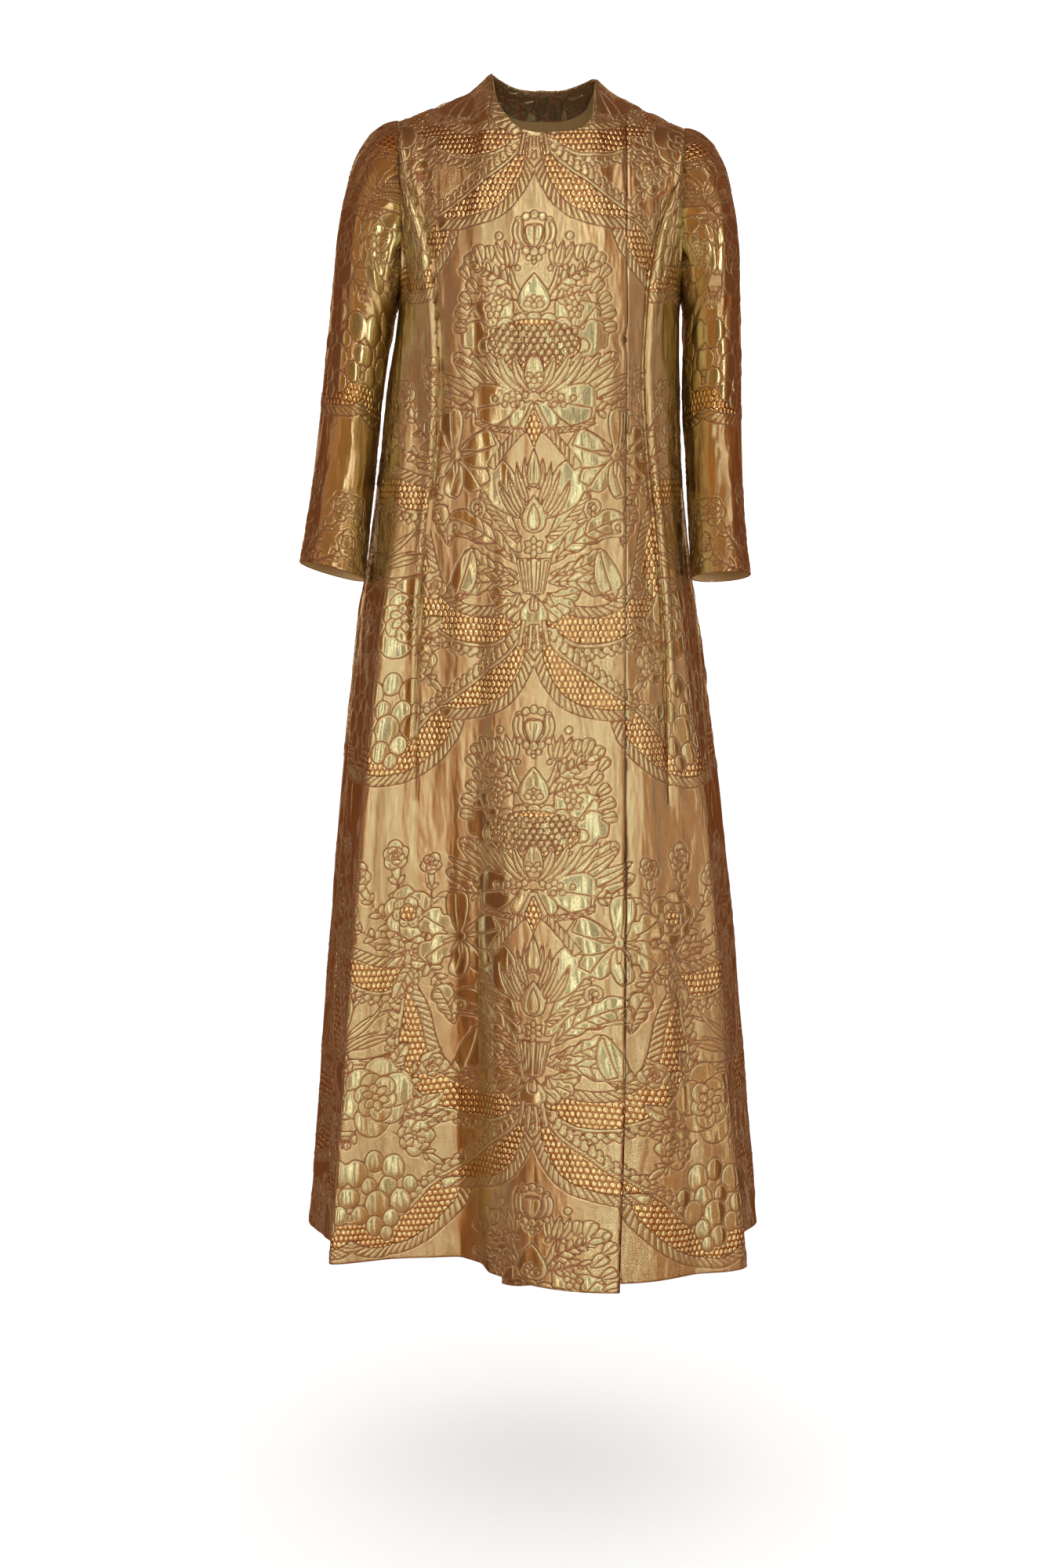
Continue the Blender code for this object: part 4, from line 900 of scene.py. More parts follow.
class NodeDesk:
    """Adds and joins the nodes of one material or of the surroundings."""

    def __init__(self, owner: bpy.types.Material | bpy.types.World) -> None:
        """Open the node tree of its owner."""
        self.owner = owner
        owner.use_nodes = True
        self.tree = owner.node_tree

    def feed(self, node: bpy.types.Node, values: dict[int | str, object]) -> None:
        """Link each value to its socket, or set it there if it is a number or a colour.

        Args:
            node: the node.
            values: the value for each socket's name or number.
        """
        for name, value in values.items():
            socket = node.inputs[name]
            if isinstance(value, bpy.types.NodeSocket):
                self.tree.links.new(value, socket)
            else:
                socket.default_value = (*value, 1.0) if socket.type == "RGBA" else value

    def add(self, kind: str, values: dict[int | str, object], output: int | str = 0,
            **settings: object) -> Socket:
        """Add a node, set it up, feed it and give one of its outputs.

        Args:
            kind: its type, without ShaderNode.
            values: what to feed it.
            output: the output to give.
            settings: its properties.

        Returns:
            The output.
        """
        node = self.tree.nodes.new("ShaderNode" + kind)
        for name, value in settings.items():
            setattr(node, name, value)
        self.feed(node, values)
        return node.outputs[output]

    def math(self, operation: str, *values: object) -> Socket:
        """Add a Math node."""
        return self.add("Math", dict(enumerate(values)), operation=operation)

    def chain(self, value: object, *steps: Sequence[object]) -> Socket:
        """Put a value through Math nodes, each step an operation and its number.

        Args:
            value: the value.
            steps: the steps in order.

        Returns:
            The result.
        """
        for operation, *number in steps:
            value = self.math(operation, value, *number)
        return value

    def total(self, start: object, *terms: tuple[object, object]) -> Socket:
        """Add to a start each term's value times its weight.

        Args:
            start: what to add to.
            terms: pairs of value and weight.

        Returns:
            The sum.
        """
        for value, weight in terms:
            start = self.math("MULTIPLY_ADD", value, weight, start)
        return start

    def attribute(self, name: str) -> Sequence[Socket]:
        """Read the three parts of a shell's attribute."""
        vector = self.add("Attribute", {}, "Vector", attribute_name=name)
        return tuple(self.add("SeparateXYZ", {0: vector}).node.outputs)

    def position(self) -> Socket:
        """Read the place in the object's own frame."""
        return self.add("TexCoord", {}, "Object")

    def noise(self, vector: object, detail: float, scale: float = 1.0,
              stretch: tuple[float, float] | None = None) -> Socket:
        """Give a Noise texture's value, scaled by its own amount across and down if stretched.

        Args:
            vector: the place.
            detail: how many finer layers.
            scale: its fineness.
            stretch: its fineness across and down.

        Returns:
            The value, 0 to 1.
        """
        if stretch:
            vector = self.add("VectorMath", {0: vector, 1: (*stretch, 1.0)}, operation="MULTIPLY")
        return self.add("TexNoise", {"Vector": vector, "Scale": scale, "Detail": detail})

    def wave(self, value: object, length: float) -> Socket:
        """Give a sine wave of this length along a value."""
        return self.chain(value, ("MULTIPLY", 2 * math.pi / length), ("SINE",))

    def smooth(self, value: object, low: float, high: float) -> Socket:
        """Run smoothly from 0 to 1 as the value runs from low to high."""
        return self.add("MapRange", {"Value": value, "From Min": min(low, high), "From Max": max(low, high),
                                     "To Min": float(low > high), "To Max": float(low < high)},
                        "Result", interpolation_type="SMOOTHSTEP")

    def mix(self, factor: object, first: object, second: object) -> Socket:
        """Mix two colours."""
        return self.add("Mix", {"Factor": factor, 6: first, 7: second}, 2, data_type="RGBA")

    def shade(self, colour: object, amount: object) -> Socket:
        """Multiply a colour by a number."""
        return self.add("VectorMath", {0: colour, "Scale": amount}, operation="SCALE")

    def surface(self, colour: object, rough: object, metal: object, height: object, depth: float,
                anisotropy: float = 0.0) -> bpy.types.Material:
        """Feed the Principled surface, bumped by a height times a depth, and give the material.

        Args:
            colour: the base colour.
            rough: the roughness.
            metal: how metallic.
            height: the relief.
            depth: its depth in metres.
            anisotropy: how far highlights stretch along the cloth.

        Returns:
            The material.
        """
        bump = self.add("Bump", {"Distance": depth, "Height": height}, "Normal")
        principled = self.tree.nodes["Principled BSDF"]
        self.feed(principled, {"Base Color": colour, "Roughness": rough, "Metallic": metal, "Normal": bump})
        if anisotropy:
            tangent = self.add("Tangent", {}, direction_type="UV_MAP", uv_map="cloth")
            self.feed(principled, {"Anisotropic": anisotropy, "Anisotropic Rotation": 0.25,
                                   "Tangent": tangent})
        return self.owner


@dataclass(frozen=True)
class BrocadeFinish:
    """The gold brocade: metal thread over an orange core, in twill, satin and lace."""

    ground: Colour = (0.68, 0.590, 0.325)
    satin: Colour = (0.61, 0.565, 0.310)
    contour: Colour = (0.25, 0.066, 0.018)
    net: Colour = (0.30, 0.115, 0.032)
    bead: Colour = (0.88, 0.755, 0.39)
    cell_width: float = 5.2       # of the lace's net, in millimetres
    cell_height: float = 12.6

    def material(self) -> bpy.types.Material:
        """Build the material.

        Returns:
            The material.
        """
        desk = NodeDesk(bpy.data.materials.new("gold_brocade"))
        fields = [desk.math("ABSOLUTE", value) for value in desk.attribute("contours")]
        near = desk.math("MINIMUM", desk.math("MINIMUM", *fields[:2]), fields[2])
        satin, lace, seam = desk.attribute("surfaces")
        across, down, _ = desk.attribute("flat_place")
        place = desk.add("CombineXYZ", {0: across, 1: down})
        slub = desk.noise(place, 3.0, stretch=(0.55, 0.045))
        crush = desk.noise(place, 1.2, stretch=(0.120, 0.030))
        grain = desk.noise(place, 1.0, stretch=(0.60, 0.45))
        patch = desk.noise(place, 2.0, stretch=(0.045, 0.012))
        # seam_and_lap_shadow darkens along the dart seams, which are real dark joints, and along the lap's
        # edge, where it is a painted shadow of the lap together with the edge's stitching
        line, seam_and_lap_shadow = desk.smooth(near, 0.56, 0.14), desk.smooth(seam, 1.5, 0.3)
        satin, lace = desk.smooth(satin, -0.3, 0.5), desk.smooth(lace, -0.3, 0.5)
        cell = self.cells(desk, across, down)
        net = desk.math("MULTIPLY", desk.smooth(cell, 0.60, 0.18), lace)
        stripes = desk.wave(desk.chain(across, ("MULTIPLY", 0.8), ("ADD", down)), 1.9)
        twill = desk.math("MULTIPLY", stripes, desk.math("SUBTRACT", 1.0, desk.math("MAXIMUM", satin, lace)))
        # edge is a band beside each contour: it carries the stitches, and in the colour below it is a painted
        # highlight on the contour's raised sides
        edge = desk.math("MULTIPLY", desk.smooth(near, 0.4, 1.0), desk.smooth(near, 2.6, 1.4))
        stitch = desk.math("MULTIPLY", edge, desk.wave(desk.math("SUBTRACT", across, down), 2.3))
        colour = desk.mix(lace, desk.mix(satin, self.ground, self.satin), self.bead)
        # slub, grain, twill and stitch vary the cloth's own tone; the edge term lightens the colour as a
        # painted highlight beside the contours
        colour = desk.shade(colour, desk.total(0.53, (slub, 0.40), (grain, 0.50), (twill, 0.15),
                                               (stitch, 0.10), (edge, 0.16)))
        # contours, dart seams and the painted lap shadow line take the contour colour
        drawn = desk.math("MULTIPLY", desk.math("MAXIMUM", line, seam_and_lap_shadow), 0.92)
        colour = desk.mix(drawn, desk.mix(net, colour, self.net), self.contour)
        rough = desk.total(0.20, (satin, 0.02), (patch, 0.09), (line, 0.16))
        bulge = desk.math("MULTIPLY", desk.smooth(cell, 0.2, 1.9), lace)
        relief = desk.total(
            0.0, (desk.smooth(near, 0.0, 1.6), 0.50), (stitch, 0.09), (bulge, 0.70), (twill, 0.07),
            (slub, desk.total(0.13, (satin, -0.10))), (grain, desk.total(0.15, (satin, -0.09))),
            (crush, desk.total(2.0, (satin, -1.5))), (desk.smooth(seam, 4.0, 0.0), -1.0))
        return desk.surface(colour, rough, desk.total(1.0, (line, -0.35)), relief, 0.001, anisotropy=0.70)

    def cells(self, desk: NodeDesk, across: Socket, down: Socket) -> Socket:
        """Give the distance from the borders of a six-sided net, in millimetres across.

        Args:
            desk: the material's desk.
            across: millimetres across.
            down: millimetres down.

        Returns:
            The distance.
        """
        lattice, width = [], self.cell_width
        for shift in (0.0, 0.5):
            x, y = (desk.chain(value, ("DIVIDE", size), ("ADD", shift), ("FRACT",), ("SUBTRACT", 0.5),
                               ("MULTIPLY", drawn), ("ABSOLUTE",))
                    for value, size, drawn in ((across, width, width),
                                               (down, self.cell_height, math.sqrt(3) * width)))
            far = desk.math("ADD", desk.math("MULTIPLY", x, 0.50), desk.math("MULTIPLY", y, 0.87))
            lattice.append(desk.math("MAXIMUM", x, far))
        return desk.math("SUBTRACT", width / 2, desk.math("MINIMUM", *lattice))


@dataclass(frozen=True)
class LiningFinish:
    """The plain satin lining, golden brown."""

    colour: Colour = (0.34, 0.20, 0.075)

    def material(self) -> bpy.types.Material:
        """Build the material.

        Returns:
            The material.
        """
        desk = NodeDesk(bpy.data.materials.new("satin_lining"))
        across, down, _ = desk.attribute("flat_place")
        place = desk.add("CombineXYZ", {0: across, 1: down})
        thread = desk.noise(place, 2.0, stretch=(1.8, 0.12))
        patch = desk.noise(place, 2.0, stretch=(0.03, 0.02))
        colour = desk.mix(patch, self.colour, tuple(1.25 * part for part in self.colour))
        return desk.surface(desk.shade(colour, desk.total(0.88, (thread, 0.25))),
                            desk.total(0.36, (thread, 0.12)), 0.0, desk.math("MULTIPLY", thread, 0.08), 0.001)


@dataclass(frozen=True)
class WireFinish:
    """Drawn wire for the eye and the hook."""

    name: str
    colour: Colour
    roughness: float

    def material(self) -> bpy.types.Material:
        """Build the material.

        Returns:
            The material.
        """
        desk = NodeDesk(bpy.data.materials.new(self.name))
        noise = desk.noise(desk.position(), 3.0, scale=900.0)
        return desk.surface(desk.shade(self.colour, desk.total(0.82, (noise, 0.35))),
                            desk.total(self.roughness, (noise, 0.2)), 1.0, noise, 0.00005)


@dataclass
class Drape:
    """Soft ripples that stand on every shell, as waves over the flat cloth."""

    seed: int = 7
    waves: int = 26
    height: float = 0.00012

    def offset(self, flat: Array) -> Array:
        """Give the ripples' height at places on the flat cloth, in metres.

        Args:
            flat: places across and down, in millimetres.

        Returns:
            The heights.
        """
        rng = np.random.default_rng(self.seed)
        total = np.zeros(flat.shape[:-1])
        for _ in range(self.waves):
            across, down = rng.uniform(14.0, 60.0), rng.uniform(90.0, 420.0)
            phase, slant = rng.uniform(0, 2 * np.pi), rng.choice((-1.0, 1.0))
            wave = np.sin(2 * np.pi * (flat[..., 0] / across + slant * flat[..., 1] / down) + phase)
            total += wave * across / 30.0
        return self.height * total


@dataclass(frozen=True)
class Creases:
    """Soft troughs and ridges, given one by one, on straight lines across a piece.

    The columns are across, up, across, up, half width and height, the last two in millimetres. The
    fronts and the back give places in millimetres from the middle and up from the neck point; the
    sleeves give degrees round the arm, 0 outside and 90 in front, which are about a millimetre each.
    """

    rows: Rows

    def offset(self, across: Array, up: Array) -> Array:
        """Give the creases' height at each place, in metres.

        Args:
            across: the places' first coordinate.
            up: their second.

        Returns:
            The heights.
        """
        total = np.zeros(np.shape(across))
        for start_x, start_y, end_x, end_y, width, height in self.rows:
            way_x, way_y = end_x - start_x, end_y - start_y
            length = math.hypot(way_x, way_y)
            part = ((across - start_x) * way_x + (up - start_y) * way_y) / length ** 2
            beside = ((across - start_x) * way_y - (up - start_y) * way_x) / length
            total += height * np.exp(-(beside / width) ** 2) * ease(3 * part) * ease(3 * (1 - part))
        return 0.001 * total


FRONT_CREASES = Creases((
    (-140, -108, -112, -240, 5, 1.2), (-130, -108, -100, -240, 8, -1.4), (-114, -225, -124, -600, 6, 1.6),
    (-97, -215, -104, -620, 13, -1.6), (140, -150, 113, -250, 5, 1.1), (126, -140, 100, -250, 8, -1.2),
    (112, -225, 122, -560, 6, 1.4), (97, -215, 106, -560, 11, -1.3), (-72, -58, -62, -155, 7, -0.9),
    (-92, -70, -80, -175, 6, 0.8), (-46, -95, -40, -200, 9, -0.6), (66, -75, 60, -170, 8, -0.8),
    (132, -95, 122, -175, 6, -1), (-139, -140, -122, -205, 5, -0.9), (-88, -330, -76, -1060, 24, 5),
    (60, -380, 54, -720, 13, -1.1), (-30, -560, -38, -930, 15, 1.2), (26, -620, 32, -1000, 15, -1.2),
    (-10, -300, -4, -520, 12, 0.8), (-165, -560, -192, -1040, 9, 1.6), (-148, -600, -160, -1090, 11, -1.6),
    (134, -570, 222, -1330, 15, -4), (92, -570, 160, -1330, 22, 3.6), (164, -600, 250, -1330, 12, 1.8),
    (-60, -980, -66, -1210, 10, 1.2), (52, -960, 58, -1200, 10, 1.1)))
BACK_CREASES = Creases((
    (-60, -110, -48, -430, 13, -1.6), (60, -110, 48, -430, 13, -1.6), (0, -50, 0, -300, 12, 0.9),
    (-112, -140, -94, -330, 9, -1.3), (112, -140, 94, -330, 9, -1.3), (-86, -120, -74, -330, 8, 1.1),
    (86, -120, 74, -330, 8, 1.1), (-130, -400, -152, -920, 13, 1.6), (130, -400, 152, -920, 13, 1.6),
    (-80, -520, -96, -1040, 15, -1.6), (82, -540, 92, -1080, 15, -1.6), (0, -480, 0, -1000, 17, 1.3),
    (-70, -372, 78, -382, 8, -0.7), (-40, -700, -48, -1150, 12, 1.2), (40, -700, 46, -1150, 12, 1.2)))
SLEEVE_CREASES = Creases((
    (118, -335, 178, -364, 6, -1.5), (104, -386, 172, -392, 6, 1.2), (108, -424, 174, -412, 6, -1.4),
    (200, -350, 268, -374, 7, -1.2), (195, -402, 264, -388, 7, 1), (58, -70, 76, -200, 8, -1.1),
    (95, -75, 106, -215, 8, 1.1), (130, -105, 136, -230, 7, -1.2), (232, -80, 246, -210, 8, -1),
    (278, -80, 270, -200, 8, 0.9), (62, -390, 72, -505, 8, 1), (96, -410, 92, -508, 8, -1),
    (286, -390, 292, -500, 9, 0.8), (150, -250, 156, -330, 8, 1.1)))


@dataclass
class ClothShell:
    """A closed shell of cloth: a dense outer face, a coarse inner face and a rolled rim."""

    node: str
    hangs_from: Sequence[str]
    points: Array
    outward: Array
    flat: Array
    closed: bool = False
    puff_share: Array | float = 1.0
    seam: Array | float = FAR_FROM_SEAM   # distance from a drawn seam or from the painted shadow line by the lap's edge, in millimetres
    facing: float = 0.045                 # how deep the brocade turns in along the top edge
    level_rows: int | None = None         # rows from the bottom whose width counts as the cut's
    ratio: int = 4                        # outer faces to an inner face, each way
    roll: float = 0.0007                  # how far the rim bulges

    def build(self, repeat: Repeat, drape: Drape, materials: Materials) -> bpy.types.Object:
        """Make the shell and put it in its solid's place.

        Args:
            repeat: the drawn brocade.
            drape: the ripples.
            materials: the brocade and the lining.

        Returns:
            The new object.
        """
        rows, columns = self.points.shape[:2]
        points, outward = self.points.reshape(-1, 3), self.outward.reshape(-1, 3)
        fields = repeat.read(self.flat[..., 0], self.flat[..., 1])
        lift = 0.001 * fields[..., 5] * self.puff_share + drape.offset(self.flat)
        grid = np.arange(rows * columns).reshape(rows, columns)
        picked = grid[::self.ratio, ::self.ratio]
        low = grid.size + np.arange(picked.size).reshape(picked.shape)
        full, under = self.joined(grid), self.joined(low)
        vertices = [points + outward * lift.reshape(-1, 1), (points - outward * CLOTH)[picked.ravel()]]
        sources, triangles = [grid.ravel(), picked.ravel()], []
        quads = [self.quads(full), self.quads(under)[:, ::-1]]
        rims = ((full[0], full[1], under[0]), (full[:, -1], full[:, -2], under[:, -1]),
                (full[-1, ::-1], full[-2, ::-1], under[-1, ::-1]),
                (full[::-1, 0], full[::-1, 1], under[::-1, 0]))
        for dense, inside, coarse in rims[::2] if self.closed else rims:
            roll = sum(map(len, vertices)) + np.arange(len(dense))
            vertices.append(points[dense] - 0.5 * CLOTH * outward[dense]
                            + self.roll * unit(points[dense] - points[inside]))
            sources.append(dense)
            quads.append(np.stack([dense[:-1], roll[:-1], roll[1:], dense[1:]], 1))
            for index in range(len(dense) - 1):
                near = index // self.ratio
                triangles.append((roll[index], coarse[near], roll[index + 1]))
                if (index + 1) % self.ratio == 0:
                    triangles.append((roll[index + 1], coarse[near], coarse[near + 1]))
        data = self.mesh(np.concatenate(vertices), np.concatenate(quads), np.array(triangles))
        fields[..., 5] = self.seam
        source = np.concatenate(sources)
        self.write_places(data, fields.reshape(-1, 6)[source], self.flat.reshape(-1, 2)[source])
        lining = np.ones((under.shape[0] - 1, under.shape[1] - 1), np.int32)
        step = np.linalg.norm(np.diff(self.points[:, 0], axis=0), axis=1).mean() * self.ratio
        lining[-max(int(self.facing / step), 1):] = 0
        index = np.zeros(len(data.polygons), np.int32)
        index[len(quads[0]):][:lining.size] = lining.ravel()
        data.polygons.foreach_set("material_index", index)
        for material in materials:
            data.materials.append(material)
        item = bpy.data.objects.new(self.node + "_cloth", data)
        bpy.context.scene.collection.objects.link(item)
        self.declare(item)
        return item

    def declare(self, item: bpy.types.Object) -> None:
        """Put the shell on the root body and hide the solid that it stands for.

        Args:
            item: the shell's object.
        """
        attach(item, "root")
        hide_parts(self.node)

    def joined(self, grid: Array) -> Array:
        """Give a grid with its first column again after its last if the piece is a tube."""
        return np.concatenate([grid, grid[:, :1]], axis=1) if self.closed else grid

    @staticmethod
    def quads(grid: Array) -> Array:
        """Give the faces of a grid of vertex numbers."""
        corners = (grid[:-1, :-1], grid[:-1, 1:], grid[1:, 1:], grid[1:, :-1])
        return np.stack([corner.ravel() for corner in corners], axis=1)

    def mesh(self, vertices: Array, quads: Array, triangles: Array) -> bpy.types.Mesh:
        """Make mesh data from its parts.

        Args:
            vertices: the points.
            quads: faces of four.
            triangles: faces of three.

        Returns:
            The mesh data.
        """
        data = bpy.data.meshes.new(self.node + "_cloth")
        data.vertices.add(len(vertices))
        data.vertices.foreach_set("co", vertices.astype(np.float32).ravel())
        corners = np.concatenate([quads.ravel(), triangles.ravel()]).astype(np.int32)
        data.loops.add(len(corners))
        data.loops.foreach_set("vertex_index", corners)
        data.polygons.add(len(quads) + len(triangles))
        starts = np.concatenate([np.arange(len(quads)) * 4, quads.size + np.arange(len(triangles)) * 3])
        data.polygons.foreach_set("loop_start", starts.astype(np.int32))
        data.update(calc_edges=True)
        data.validate()
        data.shade_smooth()
        return data

    def write_places(self, data: bpy.types.Mesh, fields: Array, flat: Array) -> None:
        """Store the brocade's fields and the flat cloth's coordinates on the vertices.

        Args:
            data: the mesh data.
            fields: six values a vertex.
            flat: millimetres across and down.
        """
        for name, values in (("contours", fields[:, :3]), ("surfaces", fields[:, 3:]),
                             ("flat_place", np.column_stack([flat, np.zeros(len(flat))]))):
            layer = data.attributes.new(name, "FLOAT_VECTOR", "POINT")
            layer.data.foreach_set("vector", values.astype(np.float32).ravel())
        corners = np.empty(len(data.loops), np.int32)
        data.loops.foreach_get("vertex_index", corners)
        uv = data.uv_layers.new(name="cloth")
        uv.data.foreach_set("uv", (flat[corners] * 0.001).astype(np.float32).ravel())


@dataclass
class Panel:
    """A piece of the body, on upright lines that run from the hem to the top edge."""

    form: BodyForm
    skirt_rows: int = 288
    yoke_rows: int = 80
    columns: int = 232
    pattern_top: float = 149.0        # how far below the neck point a centre motif begins, in millimetres
    pattern_shift: float = 8.0        # how far to the wearer's right of the centre front its axis lies
    flare_start: float = 30.0         # how far from the middle the flare begins to move the pattern
    flare_width: float = 130.0        # over what distance that move grows
    flare_in: float = 26.0            # how far the pattern moves inwards there
    flare_down: float = 14.0          # and downwards, all four in millimetres
    flare_rise: float = 0.6           # the rise below which it moves
    flare_fall: float = 0.5           # over what rise that move grows

    def grid(self, marks: Sequence[float], shares: Sequence[float],
             ends: Callable[[float], tuple[float, float]],
             top: Callable[[float], float]) -> tuple[Array, Array]:
        """Give the turn and rise of every point, rows from the hem up.

        Args:
            marks: turns at the bust through which an upright line runs, edges too.
            shares: the share of the columns between each two marks.
            ends: gives the turns of both edges at a rise of the skirt.
            top: gives the rise of the top edge on an upright line.

        Returns:
            The turns and the rises.
        """
        counts = [int(round(self.columns * share / 4)) * 4 for share in shares]
        bust = np.concatenate([*(np.linspace(first, last, count + 1)[:-1] for first, last, count
                                 in zip(marks, marks[1:], counts)), marks[-1:]])
        dense, length = self.measured(1.0, bust[0], bust[-1])
        parts = np.interp(bust, dense, length) / length[-1]
        skirt = np.linspace(0.0, 1.0, self.skirt_rows + 1)[:-1]
        turns = []
        for rise in skirt:
            dense, length = self.measured(rise, *ends(rise))
            turns.append(np.interp(parts * length[-1], length, dense))
        yoke = np.linspace(0.0, 1.0, self.yoke_rows + 1)[:, None]
        over = np.array([top(turn) for turn in bust]) - 1
        return (np.concatenate([turns, np.repeat(bust[None], len(yoke), axis=0)]),
                np.concatenate([np.repeat(skirt[:, None], len(bust), axis=1), 1 + yoke * over]))

    def measured(self, rise: float, start: float, end: float) -> tuple[Array, Array]:
        """Give turns from start to end and the cloth's running length at them."""
        turns = np.linspace(start, end, 401)
        return turns, arc(self.form.point(turns, np.full(401, rise)), 0)

    def flat_place(self, points: Array, turn: Array, rise: Array) -> Array:
        """Give each point's place on the flat cloth, in millimetres.

        Args:
            points: the grid of points.
            turn: the turn of each point from the middle of its piece, front or back.
            rise: the rise of each point.

        Returns:
            Across from the pattern's axis, and down from the top of a centre motif.
        """
        run = arc(points, 1) * 1000
        across = run - np.array([[np.interp(0.0, *line)] for line in zip(turn, run)])
        in_front = points[..., 1].mean() < 0
        beside = points[..., 0] * (1000 if in_front else -1000)
        bust = int(np.argmin(np.abs(rise[:, 0] - 1.0)))
        across = np.where(rise > 1, beside + (across[bust] - beside[bust])[None, :], across)
        height = points[..., 2]
        darted = in_front & (height > DART[-1][0]) & (height < DART[0][0] + DART_ABOVE)
        beyond = np.abs(points[..., 0]) > through(DART, height)
        across = across + np.sign(turn) * np.where(darted & beyond, through(DART_INTAKE, height), 0.0)
        up = arc(points * np.array([0.0, 1.0, 1.0]), 0) * 1000
        flared = ease((np.abs(across) - self.flare_start) / self.flare_width)
        flared = flared * ease((self.flare_rise - rise) / self.flare_fall)
        across = across - np.sign(across) * self.flare_in * flared
        down = -1000 * BUST_HEIGHT - (up - up[bust]) - self.flare_down * flared
        return np.stack([across + self.pattern_shift, down - self.pattern_top], axis=-1)


@dataclass
class FrontPanel(Panel):
    """One front of the coat, cut in one piece with a long dart out of the armhole."""

    side: Side = Side.RIGHT
    skirt_rows: int = 420
    yoke_rows: int = 108
    columns: int = 168
    notch: float = 0.0040             # how far the lap's edge draws back at the hook
    notch_height: float = 0.008
    sink: float = 0.0013              # how far the left front sinks there
    sunk: tuple[float, float] = (0.006, 0.018)      # from the hook to the end of that hollow and of its slope
    hook_reach: float = 0.030         # over what width the lap draws back
    cover: tuple[float, float] = (0.004, 0.006)     # how far past the lap's edges the left front lies plain

    def ends(self, rise: float) -> tuple[float, float]:
        """Give the turns of both edges at one rise of the skirt.

        Args:
            rise: the rise.

        Returns:
            The turns, the smaller first.
        """
        seam = self.form.seam_turn(rise, -1)
        if self.side is Side.LEFT:
            return self.form.turn_where(rise, UNDERLAP_EDGE), seam
        height = HEM_HEIGHT + (BUST_HEIGHT - HEM_HEIGHT) * rise
        return -seam, self.form.turn_where(rise, float(through(LAP_EDGE, height)))

    def top_rise(self, turn: float) -> float:
        """Give the rise of the top edge on one upright line: the neckline, or the lap's top edge.

        Args:
            turn: the line's turn in degrees.

        Returns:
            The rise.
        """
        neck = self.form.neck_rise(turn)
        if turn * self.side.value >= 0:
            return neck - TOP_GAP
        rises = np.linspace(LOWEST_TOP, neck - 4 * TOP_GAP, 240)
        points = self.form.point(np.full_like(rises, turn), rises)
        above = points[:, 2] - through(LAP_TOP, np.abs(points[:, 0]))
        return float(np.interp(0.0, above, rises) if above[-1] > 0 else rises[-1])

    def lap_offset(self, points: Array) -> Array:
        """Give how far the right front stands off the body to pass over the left front.

        Args:
            points: points of the body.

        Returns:
            The distances.
        """
        across, height = points[..., 0], points[..., 2]
        edge = through(LAP_EDGE, height)
        over = ease((across - UNDERLAP_EDGE + LAP_RISE_START) / LAP_RISE_WIDTH)
        to_edge = np.clip((across - UNDERLAP_EDGE) / (edge - UNDERLAP_EDGE), 0, 1)
        clearance = LAP_CLEARANCE + (LAP_EDGE_CLEARANCE - LAP_CLEARANCE) * to_edge
        below = np.clip((LAP_LIFT_START - height) / (LAP_LIFT_START - HEM_HEIGHT), 0, 1)
        swing = ease((across + LAP_SWING_WIDTH) / (edge + LAP_SWING_WIDTH)) ** 1.2
        return over * (CLOTH + clearance) + LAP_LIFT * below ** 1.5 * swing

    def build(self, repeat: Repeat, drape: Drape, materials: Materials) -> bpy.types.Object:
        """Make the front and put it on its body.

        Args:
            repeat: the drawn brocade.
            drape: the ripples.
            materials: the brocade and the lining.

        Returns:
            The new object.
        """
        form, right = self.form, self.side is Side.RIGHT
        first, last = self.ends(1.0)
        if right:
            marks = (first, -TIP_TURN, -form.neck_end(NECK_WIDTH_RIGHT), 0.0, last)
        else:
            marks = (first, 0.0, form.neck_end(NECK_WIDTH_LEFT), TIP_TURN, last)
        shares = (0.24, 0.20, 0.27, 0.29) if right else (0.08, 0.20, 0.40, 0.32)
        turn, rise = self.grid(marks, shares, self.ends, self.top_rise)
        points, out = form.place(turn, rise)
        flat = self.flat_place(points, turn, rise)
        crease = FRONT_CREASES.offset(1000 * points[..., 0], 1000 * points[..., 2])
        puff_share, seam = np.ones(turn.shape), self.dart_seam(points)
        across, ahead, height = np.moveaxis(points, -1, 0)
        edge, lap_top = through(LAP_EDGE, height), through(LAP_TOP, across)
        if right:
            # a dark line along the lap's edge: the edge's stitching and a painted shadow of the gap under it
            seam = np.minimum(seam, 1000 * (edge - across) + 0.4)
            points = points + out * (self.lap_offset(points) + crease)[..., None]
            pulled = np.exp(-((points[..., 2] - HOOK_PLACE[1]) / self.notch_height) ** 2)
            near_edge = ease((points[..., 0] - HOOK_PLACE[0]) / self.hook_reach + 1)
            points[..., 0] -= self.notch * pulled * near_edge
        else:
            # a dark line where the lap's edge lies over this front: a painted shadow cast by the lap
            seam = np.minimum(seam, np.where(height < lap_top, 1000 * np.abs(across - edge), FAR_FROM_SEAM))
            covered = (across < edge + self.cover[0]) & (height < lap_top + self.cover[1])
            near_hook = np.hypot(across - HOOK_PLACE[0], height - HOOK_PLACE[1])
            clear = ease((near_hook - self.sunk[0]) / (self.sunk[1] - self.sunk[0]))
            clear = np.where(ahead > 0, 1.0, clear)
            puff_share = np.where(covered, 0.0, 1.0) * clear
            crease = crease * clear - self.sink * (1 - clear)
            points[..., 2] -= (UNDERLAP_DROP * ease((UNDERLAP_DROP_EDGE - across) / UNDERLAP_DROP_WIDTH)
                               * ease((UNDERLAP_DROP_RISE - rise) / UNDERLAP_DROP_RISE))
            points = points + out * np.where(covered, np.minimum(crease, 0.0), crease)[..., None]
        node = "front_right" if right else "front_left"
        shell = ClothShell(node, ["back"], points, out, flat, puff_share=puff_share, seam=seam)
        return shell.build(repeat, drape, materials)

